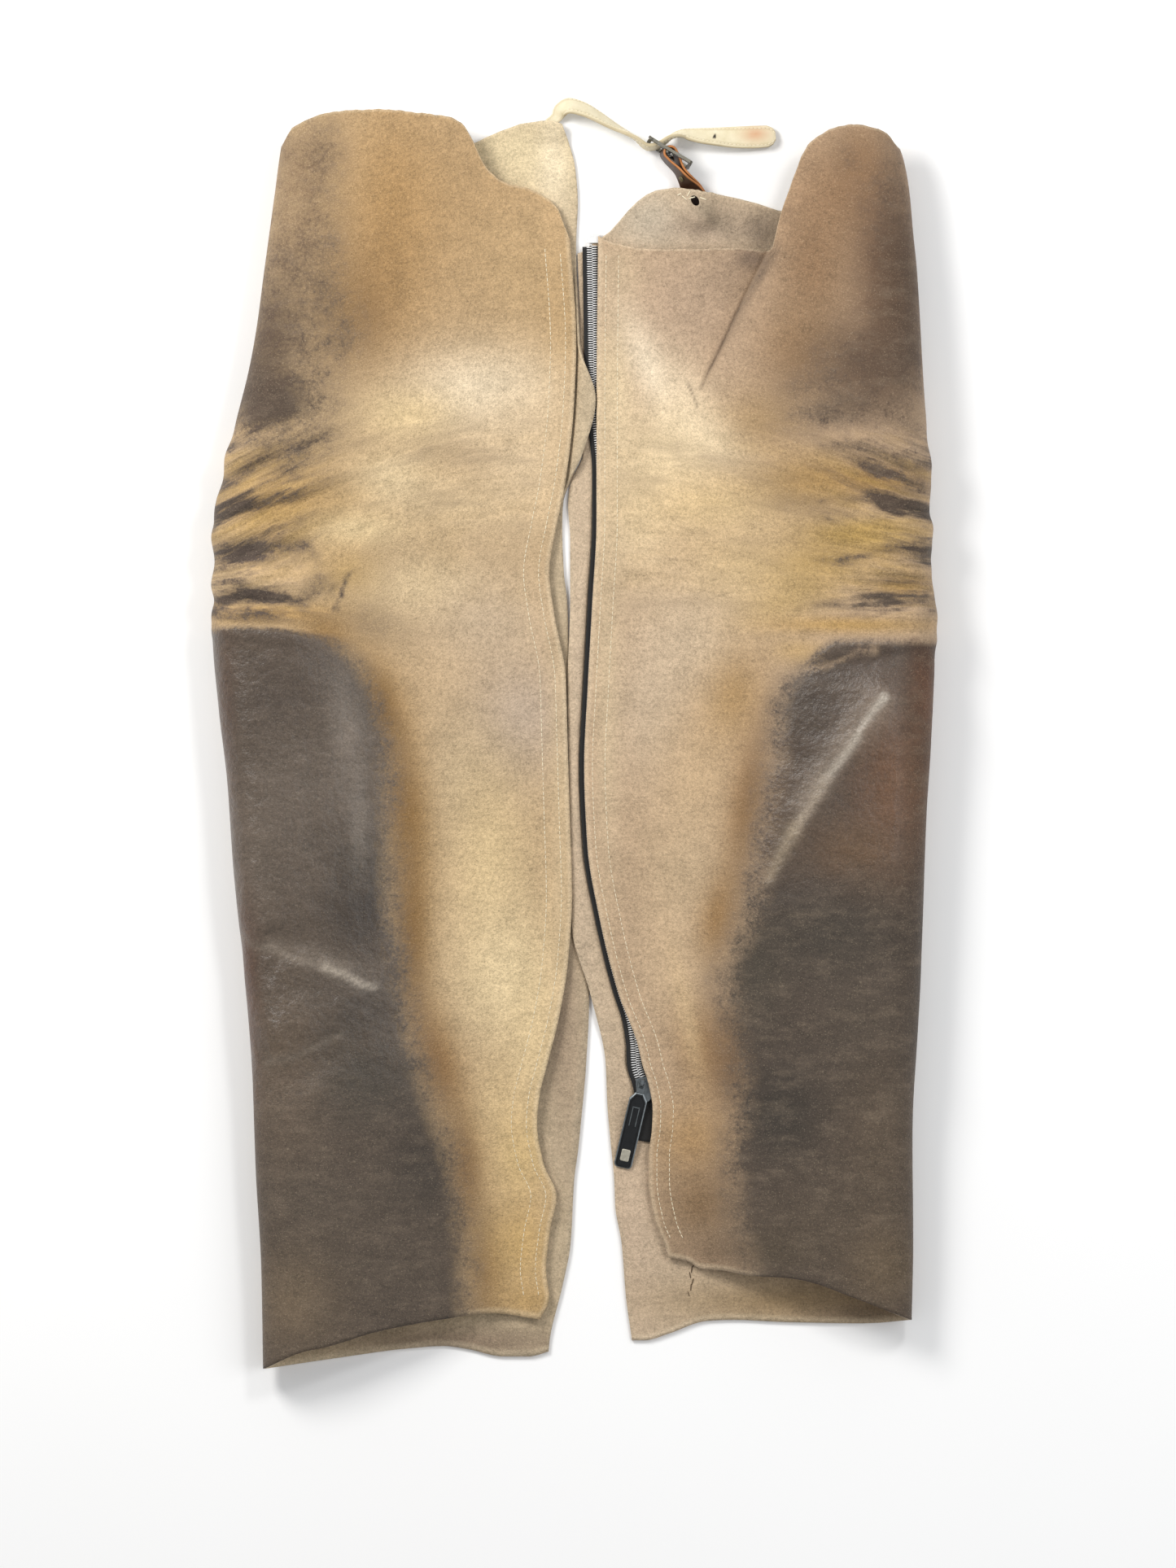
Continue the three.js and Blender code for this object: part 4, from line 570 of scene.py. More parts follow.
RIGHT["smoke"] = [
    (1092, 330, 42, 140, 0, .7), (1062, 450, 60, 46, 0, .5), (1010, 500, 60, 20, -12, .35),
    (1022, 420, 26, 26, 0, .25), (1040, 190, 20, 30, 0, .25),
    (1115, 380, 30, 140, 0, .6), (1040, 505, 60, 22, -10, .45), (1000, 470, 50, 26, -20, .3),
    (1120, 600, 30, 60, 0, .3), (985, 860, 30, 50, 10, .4),
]
# Painted shade: these lines darken the bottoms of the knee's folds.
LEFT["lines"] = [
    (256, 652, 300, 625, 9, .85), (300, 625, 345, 610, 7, .7), (256, 690, 330, 676, 20, .9),
    (330, 676, 372, 668, 14, .75), (372, 668, 392, 690, 8, .4), (260, 744, 300, 728, 9, .9),
    (300, 728, 345, 735, 9, .85), (345, 735, 378, 748, 7, .5), (270, 600, 330, 562, 15, .8),
    (330, 562, 385, 537, 12, .7), (428, 708, 419, 732, 2.4, .9), (419, 732, 408, 750, 2.4, .7),
    (428, 708, 438, 700, 2, .5), (412, 742, 420, 752, 2, .5),
]
# Painted shade: the lines darken the bottoms of the knee's folds, and (955, 305) to (862, 480) the step of
# the thigh's raised fold; the last, with a negative strength, lifts the dirt off a golden streak.
RIGHT["lines"] = [
    (1145, 575, 1060, 548, 10, .8), (1060, 548, 1010, 545, 9, .4), (1145, 632, 1080, 618, 9, .75),
    (1080, 618, 1010, 612, 7, .4), (1148, 690, 1090, 672, 12, .8), (1090, 672, 1030, 690, 8, .4),
    (1148, 745, 1090, 735, 9, .75), (1090, 735, 1000, 745, 7, .5), (955, 305, 905, 395, 5, .4),
    (905, 395, 862, 480, 4, .5), (846, 468, 858, 500, 1.4, .7), (1075, 800, 990, 822, 5, -.4),
]
# Painted highlights: bright streaks of reflected light on the polished hide of both legs, drawn into the
# dirt colours.
LEFT["glints"] = [
    (330, 1166, 400, 1188, 5, "#A0958A", .45), (400, 1188, 462, 1212, 5, "#C2B8AC", .6),
    (330, 1310, 420, 1270, 5, "#857B70", .4), (296, 1150, 330, 1166, 5, "#8A7F75", .4),
]
RIGHT["glints"] = [
    (1086, 862, 1052, 905, 5, "#E6E0D8", .8), (1052, 905, 1012, 958, 6, "#D8D0C6", .8),
    (1012, 958, 975, 1020, 7, "#B5A796", .7), (975, 1020, 945, 1085, 8, "#A39480", .6),
    (1075, 870, 985, 985, 20, "#8F8276", .6),
]
LEFT["flow"] = [(480, -.6), (600, -.55), (650, -.48), (700, -.2), (745, .05), (800, .15)]
RIGHT["flow"] = [(470, .5), (560, .38), (620, .26), (690, .12), (745, .02), (800, 0)]
LEFT["rub"] = [
    (768, 300), (786, 395), (850, 450), (950, 476), (1150, 486), (1300, 512), (1440, 560), (1620, 578)]
RIGHT["rub"] = [
    (790, 1005), (880, 962), (1040, 932), (1120, 922), (1200, 890), (1330, 905), (1450, 900), (1600, 925)]
LEFT["knee_side"], RIGHT["knee_side"] = 262, 1146


def soft_patch(x, y, centre_x, centre_y, half_x, half_y, turn):
    c, s = math.cos(math.radians(turn)), math.sin(math.radians(turn))
    u, v = x - centre_x, y - centre_y
    return np.exp(-((u * c + v * s) / half_x) ** 2 - ((v * c - u * s) / half_y) ** 2)


def soft_line(x, y, x0, y0, x1, y1, half):
    """A line that thins towards its far end and wanders a little."""
    y = y + 3.2 * np.sin(x / 19 + y0) + 1.6 * np.sin(x / 8.3 + y / 21)
    run_x, run_y = x1 - x0, y1 - y0
    share = np.clip(((x - x0) * run_x + (y - y0) * run_y) / (run_x**2 + run_y**2), 0, 1)
    far = (x - x0 - share * run_x) ** 2 + (y - y0 - share * run_y) ** 2
    return np.exp(-far / (half * (1.15 - .45 * share)) ** 2)


def painted(x, y, base, patches, lines=()):
    colour = np.tile(np.array(paint(base)[:3]), (*x.shape, 1))
    for draw, shapes in ((soft_patch, patches), (soft_line, lines)):
        for *shape, code, strength in shapes:
            share = (draw(x, y, *shape) * strength)[..., None]
            colour = colour * (1 - share) + np.array(paint(code)[:3]) * share
    return colour


def dirt_and_shade(leg, x, y):
    """How dark and how polished the outer face is at the photo's pixels x and y."""
    inside = (x - read(leg["rub"], y)) * leg["side"]
    if leg is LEFT:
        start = 772 - 6 * np.sin((x - 260) / 90)
        dark = ease(-46, 34, inside) * ease(start - 5, start + 6, y)
        polish = dark * (1 - .75 * ease(1240, 1420, y))
    else:
        start = 786 + 40 * ease(1030, 960, x)
        dark = ease(-46, 40, inside) * ease(start - 8, start + 10, y)
        polish = dark * (1 - .85 * ease(1060, 1120, y + (x - 1000) * .3)) * ease(1130, 1090, x)
    for *ellipse, strength in leg["smoke"]:
        dark = dark + soft_patch(x, y, *ellipse) * strength * (1 - dark * .5)
    # The lines are painted shade in the fold bottoms.
    for *line, strength in leg["lines"]:
        drawn = soft_line(x, y, *line) * strength
        dark = np.maximum(dark, drawn * .85) if strength > 0 else dark + drawn
    return np.clip(dark, 0, 1), np.clip(polish, 0, 1)


def crushed(leg, x, y):
    """The run of the small folds on the knee's outer side, and how deep they are."""
    inward = np.abs(x - leg["knee_side"])
    level = y - read(leg["flow"], y) * (x - leg["knee_side"]) * (1 - np.minimum(inward, 400) / 800)
    strength = (1 - ease(40, 210, inward)) * ease(500, 560, y) * (1 - ease(748, 772, y))
    across_knee = .2 * ease(470, 560, y) * (1 - ease(700, 800, y)) * ease(20, 70, np.abs(x - 715))
    return x / 100, level / 100, np.maximum(strength, across_knee)


print("dirt patches and lines:", sum(len(leg[key]) for leg in (LEFT, RIGHT) for key in ("soot", "lines")))

# %% [markdown]
# The wall is the middle surface pushed out by half the leather's thickness to both
# sides and closed round its rim. Cells inside a hole are left out, the points round it
# are drawn onto its outline, and the same rim closes it. Each leg is one piece of hide:
# the size that it was cut to is measured along its middle.

# %% Build a leather wall
def mesh_object(name, points, faces, smooth=True):
    mesh = bpy.data.meshes.new(name)
    mesh.from_pydata([tuple(p) for p in points], [], [tuple(f) for f in faces])
    mesh.update()
    made = bpy.data.objects.new(name, mesh)
    bpy.context.scene.collection.objects.link(made)
    mesh.polygons.foreach_set("use_smooth", [smooth] * len(mesh.polygons))
    return made


def surface_normals(grid):
    normal = np.cross(np.gradient(grid, axis=0), np.gradient(grid, axis=1))
    return normal / np.linalg.norm(normal, axis=-1, keepdims=True)


def wall(name, grid, thickness, flip, open_cells=None):
    """A closed wall about a grid of points, with the first layer facing out."""
    wide, high = grid.shape[:2]
    normal = surface_normals(grid) * (-1 if flip else 1)
    points = np.concatenate([(grid + normal * thickness / 2).reshape(-1, 3),
                             (grid - normal * thickness / 2).reshape(-1, 3)])
    i, j = np.meshgrid(np.arange(wide - 1), np.arange(high - 1), indexing="ij")
    kept = np.ones(i.shape, bool) if open_cells is None else ~open_cells
    a = (i * high + j)[kept]
    quads = np.stack([a, a + high, a + high + 1, a + 1], axis=1)
    half = wide * high
    sides = np.concatenate([quads[:, [k, (k + 1) % 4]] for k in range(4)])
    both = set(map(tuple, sides.tolist()))
    lone = np.array([s for s in sides.tolist() if (s[1], s[0]) not in both])
    rim = np.stack([lone[:, 1], lone[:, 0], lone[:, 0] + half, lone[:, 1] + half], axis=1)
    faces = np.concatenate([quads, quads[:, ::-1] + half, rim])
    if flip:
        faces = faces[:, ::-1]
    return mesh_object(name, points * MM, faces), np.unique(lone)


def flat_size(grid):
    """Cut width and length, and the area, of a grid in metres."""
    steps = np.linalg.norm(np.diff(grid, axis=0), axis=-1).sum(axis=0)
    rows = np.linalg.norm(np.diff(grid, axis=1), axis=-1).sum(axis=1)
    side_a = grid[1:, :-1] - grid[:-1, :-1]
    side_b = grid[:-1, 1:] - grid[:-1, :-1]
    area = np.linalg.norm(np.cross(side_a, side_b), axis=-1).sum()
    return steps.max() * MM, rows.max() * MM, area * MM * MM


def attribute(made, name, values):
    colour = values.ndim == 2
    layer = made.data.attributes.new(name, "FLOAT_COLOR" if colour else "FLOAT", "POINT")
    if colour:
        values = np.concatenate([values, np.ones((len(values), 1))], axis=1)
    layer.data.foreach_set("color" if colour else "value", values.astype(np.float32).ravel())


RIGHT["hole"] = (.333, .9275, 3, 4.5, .5)  # out, along, half width, half length, turn


def worn_hole(leg, grid, alongs, back_end):
    """Opens an oval in the back layer and draws the points round it onto the outline."""
    out, along, half_wide, half_long, turn = leg["hole"]
    x = (grid[..., 0] * leg["side"] - out * LEG_REACH)
    y = (alongs - along) * LEG_LENGTH
    u = x * math.cos(turn) + y * math.sin(turn)
    v = y * math.cos(turn) - x * math.sin(turn)
    far = np.hypot(u / half_wide, v / half_long)
    far[back_end:] = 9
    open_cells = (far[1:, 1:] + far[:-1, 1:] + far[1:, :-1] + far[:-1, :-1]) / 4 < .95
    touching = np.zeros(far.shape, int)
    for di, dj in ((0, 0), (0, 1), (1, 0), (1, 1)):
        touching[di:di + open_cells.shape[0], dj:dj + open_cells.shape[1]] += open_cells
    border = (touching > 0) & (touching < 4)
    pull = 1 / np.maximum(far, .2)
    for axis, delta in ((0, x * (pull - 1) * leg["side"]), (1, y * (pull - 1))):
        grid[..., axis] += np.where(border, delta, 0)
    return open_cells


def place_in_part(made, *stood_for, slot=None, body="chaps"):
    """Hides the nodes that a piece stands for and hangs it on the empty of the body it moves with; slot,
    its finish, is not used.
    """
    if stood_for:
        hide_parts(*stood_for)
    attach(made, body)


def hide_colours(leg, x, y, front, rim):
    """Colours of the outer and then the inner face; the cut edges are a little paler."""
    clean, _, inner = leg["base"]
    outer = painted(x, y, clean, leg["hide"])
    outer = outer * front[..., None] + np.array(paint("#A08A6A")[:3]) * (1 - front[..., None])
    inside = painted(x, y, inner, leg["inside"])
    hide = np.concatenate([outer.reshape(-1, 3), inside.reshape(-1, 3)])
    free_edges = np.zeros(x.shape)
    free_edges[:, :2] = free_edges[:, -2:] = free_edges[-2:] = free_edges[:1] = 1
    edge = np.tile(free_edges.ravel(), 2)
    edge[rim] = edge[rim + x.size] = 1
    hide = hide * (1 - .2 * edge[:, None]) + np.array(paint("#E0D2B2")[:3]) * .2 * edge[:, None]
    return np.minimum(hide ** 1.12 * 1.2, .95) * np.array([1, .985, 1.05])


def build_leg(leg, name, surface):
    grid, alongs, back_end = surface
    open_cells = worn_hole(leg, grid, alongs, back_end) if "hole" in leg else None
    made, rim = wall(name, grid + MOVE, LEATHER, leg is RIGHT, open_cells)
    x = grid[..., 0] / PIXEL + PHOTO_X
    y = PHOTO_Y - grid[..., 1] / PIXEL
    front = ease(back_end - 1, back_end + 8, np.arange(len(grid))[:, None] + np.zeros_like(x))
    attribute(made, "hide", hide_colours(leg, x, y, front, rim))
    # The dirt colours, with the painted highlights of the glints drawn over them.
    soot = painted(x, y, leg["base"][1], leg["soot"], leg["glints"]) * np.array([.86, .83, .77])
    attribute(made, "soot", np.tile(soot.reshape(-1, 3), (2, 1)))
    dark, polish = dirt_and_shade(leg, x, y)
    across, level, crush = crushed(leg, x, y)
    clean = np.zeros_like(x)
    layers = {"across": (across, across), "level": (level, level), "crush": (crush * front, clean),
              "dark": (dark * front, clean), "polish": (polish * front, clean + .3)}
    for key, faces in layers.items():
        attribute(made, key, np.concatenate([face.ravel() for face in faces]))
    place_in_part(made, name + "_panel", slot="suede")
    return made, flat_size(grid)


left_leg, left_flat = build_leg(LEFT, "left_leg", left_grid)
right_leg, right_flat = build_leg(RIGHT, "right_leg", right_grid)
print("cut sizes:", [round(v, 3) for v in left_flat], [round(v, 3) for v in right_flat])

# %% [markdown]
# Suede is the fibrous side of a hide: rough, without gloss, with a nap that catches the
# light at a grazing angle. Where hands, saddle and dirt rubbed it, the nap is pressed
# flat and shines. So one shader runs between the two: the polish attribute lowers the
# roughness and flattens the bumps, and the dark attribute, frayed by noise, brings the
# brown of the dirt and the painted shade of the fold bottoms. In the crushed knee the
# small folds get dark streaks, painted shade of their valleys, and golden ridges.

# %% The suede
def suede_material():
    material, graph, shader = new_material("suede_hide", Sheen_Weight=.12, Sheen_Roughness=.5,
                                           Specular_IOR_Level=.45)
    hide = stored(graph, "hide", "Color")
    soot = stored(graph, "soot", "Color")
    dark, polish, crush, across, level = (
        stored(graph, name) for name in ("dark", "polish", "crush", "across", "level"))
    broad, cloud = noise(graph, 16, 4), noise(graph, 70, 5, .65)
    speck, grain = noise(graph, 380, 3, .75), noise(graph, 900, 2, .7)
    along_folds = graph.value("ShaderNodeCombineXYZ", 0, None, X=across * .8, Y=level * 4.2)
    streak = noise(graph, 1.0, 4, .6, along_folds)
    along_lines = graph.value("ShaderNodeCombineXYZ", 0, None, X=across * 1.5, Y=level * 15.0)
    line = noise(graph, 1.0, 3, .6, along_lines)
    # Painted shade: dark streaks for the valleys of the knee's small folds.
    valley_shade = ((streak - .49 + (line - .5) * .22) * 6.5).clamped() * crush
    ridge = ((.5 - streak) * 6.0).clamped() * crush
    dirt_and_fold_shade = (dark + valley_shade * .95 - ridge * .3).clamped()
    between = dirt_and_fold_shade * (1.0 - dirt_and_fold_shade) * 4.0
    ragged = (broad - .5) * 1.2 + (cloud - .5) * 1.5 + (speck - .5) * 1.9
    frayed = (dirt_and_fold_shade * 1.06 - .02 + between * ragged).clamped()
    strokes = noise(graph, 1.0, 5, .7, graph.value(
        "ShaderNodeVectorMath", 0, {"operation": "MULTIPLY"},
        i0=graph.value("ShaderNodeTexCoord", "Object"), i1=(38, 95, 38)))
    scuffed = ((strokes - .48) * 4.0).clamped() * (1.0 - polish * .75) * .42
    soot = blend_colours(graph, scuffed, soot, paint("#7E6E5C"))
    golden = blend_colours(graph, ridge * .55, hide, paint("#9C7E42"))
    worn_and_painted_light = blend_colours(graph, frayed, golden, soot)
    shade = ((broad - .5) * .35 + (cloud - .5) * .55 + (speck - .5) * 1.1 + (grain - .5) * .9
             + (line - .5) * (crush * 1.2 + .25) + 1.0)
    tone = graph.value("ShaderNodeCombineColor", 0, None, Red=shade, Green=shade,
                       Blue=shade * 1.04 - .04)
    mottled = blend_colours(graph, 1.0, worn_and_painted_light, tone, "MULTIPLY")
    dust = ((grain - .6) * 8).clamped() * (1.0 - polish * .5) * .2
    dusted = blend_colours(graph, dust, mottled, paint("#D6C6A6"))
    graph.feed(shader.inputs["Base Color"], dusted)
    smooth = (polish * 1.2 + (cloud - .5) * .5 * polish).clamped()
    graph.feed(shader.inputs["Roughness"], .93 - smooth * .55 + (speck - .5) * .12)
    nap = (speck * .7 + grain * .5) * (1.0 - smooth * .8) + cloud * .8 + streak * crush * 3.2
    nap = nap + line * (crush * .6 + .12) + broad * smooth * 4.5 + cloud * smooth * 1.2
    graph.feed(shader.inputs["Normal"], bump(graph, nap, .0011, .9))
    return material


suede = suede_material()
for leg_object in (left_leg, right_leg):
    leg_object.data.materials.append(suede)
print("suede nodes:", len(suede.node_tree.nodes))

# %% [markdown]
# The camera hangs straight over the chaps, as in the photo, and sees them without
# vanishing lines. The floor is a plain pale board, and broad soft lamps stand round it.
# A smaller lamp high on the right adds to the bright streaks on the polished hide, which are also painted
# in as highlights.

# %% Floor, camera and lights
def make_floor():
    half = 3.0
    corners = [(-half, -half, 0), (half, -half, 0), (half, half, 0), (-half, half, 0)]
    made = mesh_object("floor", corners, [(0, 1, 2, 3)], smooth=False)
    material, graph, shader = new_material("pale_floor", Roughness=.8)
    pale = noise(graph, 2.0, 2)
    graph.feed(shader.inputs["Base Color"], blend_colours(graph, pale, paint("#FAF9F8"), paint("#FDFDFC")))
    made.data.materials.append(material)
    made.location.z = -.0005


def make_camera():
    data = bpy.data.cameras.new("overhead")
    made = bpy.data.objects.new("overhead", data)
    bpy.context.scene.collection.objects.link(made)
    data.type = "ORTHO"
    data.ortho_scale = PHOTO_HEIGHT * PIXEL * MM
    middle_x = (PHOTO_WIDTH / 2 - PHOTO_X) * PIXEL + MOVE[0]
    middle_y = (PHOTO_Y - PHOTO_HEIGHT / 2) * PIXEL + MOVE[1]
    made.location = (middle_x * MM, middle_y * MM, 3.0)
    bpy.context.scene.camera = made


def make_lamp(name, place, size, watts, colour):
    data = bpy.data.lights.new(name, "AREA")
    data.shape = "RECTANGLE"
    data.size, data.size_y = size
    data.energy = watts
    data.color = colour
    made = bpy.data.objects.new(name, data)
    bpy.context.scene.collection.objects.link(made)
    made.location = place
    made.rotation_euler = (-Vector(place)).to_track_quat("-Z", "Y").to_euler()
    made.visible_camera = False


make_floor()
make_camera()
make_lamp("key", (-1.3, 1.2, 1.5), (.8, .8), 39, (1, .99, .97))
make_lamp("fill", (1.6, -.3, 1.8), (1.4, 1.4), 14, (.96, .98, 1))
make_lamp("streak", (.9, 1.2, 1.9), (.4, .4), 11, (1, 1, 1))
world = bpy.data.worlds.new("studio")
bpy.context.scene.world = world
world.use_nodes = True
world.node_tree.nodes["Background"].inputs["Color"].default_value = (.97, .98, 1, 1)
world.node_tree.nodes["Background"].inputs["Strength"].default_value = .45
bpy.context.scene.view_settings.view_transform = "Standard"
print("lamps: 3")

# %% [markdown]
# Teeth and stitches are one small shape repeated along a path. Geometry Nodes sets a
# softened block on every point of a path, turns its length to the point's run and its
# top to the point's up, and varies its size a little. The result is taken as plain mesh.

# %% One block along a path
def repeat_tree():
    tree = bpy.data.node_groups.new("repeat_along", "GeometryNodeTree")
    kinds = {"Geometry": "Geometry", "Size": "Vector", "Crease": "Float", "Wander": "Float",
             "Seed": "Int", "Material": "Material"}
    named = {}
    for name, kind in kinds.items():
        socket = tree.interface.new_socket(name, in_out="INPUT", socket_type="NodeSocket" + kind)
        named[name] = socket.identifier
    tree.interface.new_socket("Geometry", in_out="OUTPUT", socket_type="NodeSocketGeometry")
    graph = Graph(tree)
    given = graph.node("NodeGroupInput").outputs
    run = graph.node("GeometryNodeInputNamedAttribute", {"data_type": "FLOAT_VECTOR"}, Name="run")
    top = graph.node("GeometryNodeInputNamedAttribute", {"data_type": "FLOAT_VECTOR"}, Name="up")
    block = graph.node("GeometryNodeMeshCube", None, Size=given["Size"])
    soft = graph.node("GeometryNodeSubdivisionSurface", None, Mesh=block.outputs["Mesh"], Level=1,
                      Edge_Crease=given["Crease"])
    first = graph.node("FunctionNodeAlignRotationToVector", {"axis": "X"}, Vector=run.outputs["Attribute"])
    turned = graph.node("FunctionNodeAlignRotationToVector", {"axis": "Z", "pivot_axis": "X"},
                        Rotation=first.outputs["Rotation"], Vector=top.outputs["Attribute"])
    spread = Socket(graph, given["Wander"])
    varied = graph.node("FunctionNodeRandomValue", {"data_type": "FLOAT"}, Seed=given["Seed"])
    graph.feed(varied.inputs[2], 1.0 - spread)
    graph.feed(varied.inputs[3], 1.0 + spread)
    laid = graph.node("GeometryNodeInstanceOnPoints", None, Points=given["Geometry"],
                      Instance=soft.outputs["Mesh"], Rotation=turned.outputs["Rotation"],
                      Scale=varied.outputs[1])
    real = graph.node("GeometryNodeRealizeInstances", None, Geometry=laid.outputs["Instances"])
    done = graph.node("GeometryNodeSetMaterial", None, Geometry=real.outputs["Geometry"],
                      Material=given["Material"])
    graph.node("NodeGroupOutput", None, Geometry=done.outputs["Geometry"])
    return tree, named


REPEAT, REPEAT_INPUTS = repeat_tree()


def repeated(name, places, runs, size, crease, wander, seed, material, ups=None):
    """A plain mesh of blocks at places, in millimetres; without ups their tops face up."""
    places, runs = (np.concatenate(part).reshape(-1, 3) for part in (places, runs))
    ups = np.tile([0.0, 0.0, 1.0], (len(places), 1)) if ups is None else np.concatenate(ups)
    made = mesh_object(name, places * MM, [])
    for key, vectors in (("run", runs), ("up", ups)):
        layer = made.data.attributes.new(key, "FLOAT_VECTOR", "POINT")
        layer.data.foreach_set("vector", vectors.astype(np.float32).ravel())
    modifier = made.modifiers.new("repeat", "NODES")
    modifier.node_group = REPEAT
    values = {"Size": [v * MM for v in size], "Crease": crease, "Wander": wander, "Seed": seed,
              "Material": material}
    for key, value in values.items():
        modifier[REPEAT_INPUTS[key]] = value
    evaluated = made.evaluated_get(bpy.context.evaluated_depsgraph_get())
    plain = bpy.data.meshes.new_from_object(evaluated)
    made.modifiers.remove(modifier)
    made.data = plain
    plain.polygons.foreach_set("use_smooth", [True] * len(plain.polygons))
    print(f"{name}: {len(places)} blocks")
    return made


def walked(points, pitch, start=0.0):
    """Places every pitch along a line of points, and the run at each."""
    lengths = np.concatenate([[0], np.cumsum(np.linalg.norm(np.diff(points, axis=0), axis=1))])

    def spots(at):
        return np.stack([np.interp(at, lengths, points[:, k]) for k in range(3)], axis=1)

    at = np.arange(start, lengths[-1], pitch)
    runs = spots(at + .5) - spots(at - .5)
    return spots(at), runs / np.linalg.norm(runs, axis=1, keepdims=True)


def square_to(runs):
    """Level directions at right angles to each run."""
    square = np.stack([runs[:, 1], -runs[:, 0], np.zeros(len(runs))], axis=1)
    return square / np.linalg.norm(square, axis=1, keepdims=True)


print("inputs of the repeat tree:", list(REPEAT_INPUTS))

# %% [markdown]
# The small metal pieces keep their CAD shape. Its triangles are loose, so a weld joins
# their corners and a bevel then softens the stamped edges. Each finish is one noise that
# runs between two colours and two roughnesses, with a fine bump where it is cloth. A
# painted texture could do the same, but a noise has no seams and stays sharp close up.

# %% Finishes of the small pieces
def plain_material(name, light, dark, scale, fixed, rough=(.4, .6), relief=0.0):
    material, graph, shader = new_material(name, **fixed)
    cloud = noise(graph, scale, 4)
    graph.feed(shader.inputs["Base Color"], blend_colours(graph, cloud, paint(dark), paint(light)))
    graph.feed(shader.inputs["Roughness"], cloud * (rough[1] - rough[0]) + rough[0])
    if relief:
        graph.feed(shader.inputs["Normal"], bump(graph, noise(graph, scale * 6, 3), relief, .6))
    return material


METAL, CLOTH = {"Metallic": 1.0}, {"Sheen_Weight": .2}
zip_metal = plain_material("zip_metal_finish", "#FFFFFF", "#E8E8E6", 300, {"Metallic": .35}, (.3, .45))
dull_metal = plain_material("slider_finish", "#8E9496", "#565B5D", 300, METAL, (.35, .5))
nickel = plain_material("worn_nickel", "#7D7A70", "#3E3B34", 400, METAL, (.25, .45))
brass = plain_material("dull_brass", "#8C8466", "#5A5440", 400, METAL, (.4, .55))
bare_zinc = plain_material("bare_zinc", "#CFC9B8", "#8F8A7C", 500, {"Metallic": .6}, (.4, .6))
enamel = plain_material("dark_enamel", "#202224", "#0E0F10", 300, {"Metallic": .3}, (.28, .42))
tape_cloth = plain_material("woven_tape", "#262525", "#111110", 900, {"Sheen_Weight": .05}, (.8, .95),
                            .0004)
# Thread for the hem mend, darkened for the shade of the slit that it closes.
slit_shade_thread = plain_material("slit_shade_thread", "#6E5638", "#3E2F1E", 700, CLOTH, (.6, .8), .0002)
thread = plain_material("pale_thread", "#F4ECD6", "#DCCBA4", 700, CLOTH, (.6, .8), .0002)
FINISHES = {
    "left_zip_teeth": zip_metal, "left_zip_slider": dull_metal, "right_zip_slider": dull_metal,
    "right_zip_box": zip_metal, "buckle_frame": nickel, "buckle_prong": nickel, "tab_rivet": brass,
}
for node_name, finish in FINISHES.items():
    node = frame["nodes"][node_name]
    node.data.materials.clear()
    node.data.materials.append(finish)
    if node_name != "left_zip_teeth":  # this chain is one hidden strip
        joined = node.modifiers.new("joined_corners", "WELD")
        joined.merge_threshold = .00001
        soft_edge = node.modifiers.new("soft_edge", "BEVEL")
        soft_edge.width = .0003
        soft_edge.segments = 2
        soft_edge.limit_method = "ANGLE"
print("finished nodes:", len(FINISHES))

# %% [markdown]
# The zip's teeth are clamped in turn on the beads of the two tapes, so each side is one
# row of blocks, half a pitch ahead of the other, and they meet in the middle. The two
# black woven tapes are modelled as one thin band, as they are when zipped together.

# %% The zips' tapes and the right chain
ZIP_LOW, ZIP_HIGH, ZIP_END = .2215, .8925, .1805   # shares of the leg's length
TOOTH, TOOTH_PITCH, TOOTH_OUT = (5.3, .82, 2.1), 1.9, 2.0


def chain_line(leg, sideways=0.0, low=ZIP_LOW, high=ZIP_HIGH):
    along = np.linspace(low, high, 900)
    out = leg["side"] * chain_out(leg, along)
    z = CHAIN_LEVEL + read(CHAIN_RISE, along) * SLIDER_RISE
    line = np.stack([out, (along - .5) * LEG_LENGTH, z], axis=1)
    return line + square_to(np.gradient(line, axis=0)) * sideways * leg["side"] + MOVE


def zip_tape(leg, side_name):
    """Both woven tapes of a zip, zipped together, from the back layer to the front one."""
    beyond = TEETH_WIDTH / 2 + SEAT
    stations = np.linspace(-beyond - BACK_TAPE, beyond + FRONT_TAPE, 13)
    band_grid = np.array([chain_line(leg, s, ZIP_END)[::3] for s in stations])
    tape, _ = wall(f"{side_name}_zip_cloth", band_grid, TAPE_THICK, leg is LEFT)
    tape.data.materials.append(tape_cloth)
    place_in_part(tape, f"{side_name}_zip_front_tape", f"{side_name}_zip_back_tape", slot="zip_tape")
    width, length, area = flat_size(band_grid)
    min(area, width * length)
    return width, length


def zip_chain():
    places, runs = [], []
    middle = chain_line(RIGHT)
    for side, start in ((-1, 0), (1, TOOTH_PITCH / 2)):
        spots, ahead = walked(middle, TOOTH_PITCH, start)
        places.append(spots + square_to(ahead) * side * TOOTH_OUT)
        runs.append(square_to(ahead))
    teeth = repeated("zip_tooth_rows", places, runs, TOOTH, .75, .03, 4, zip_metal)
    place_in_part(teeth, "right_zip_teeth", slot="zip_metal")


print("zip tapes in metres:", zip_tape(LEFT, "left"), zip_tape(RIGHT, "right"))
zip_chain()

# %% [markdown]
# Two rows of stitches hold the zip's tape under each front edge. They follow the edge
# at fixed distances in from it, so the tree that made the teeth makes them too. A few
# single stitches mend the back layer near the hem and beside the worn hole by the tab.
# The hem's stitches are dark to stand for the slit that they close, which is painted shade.

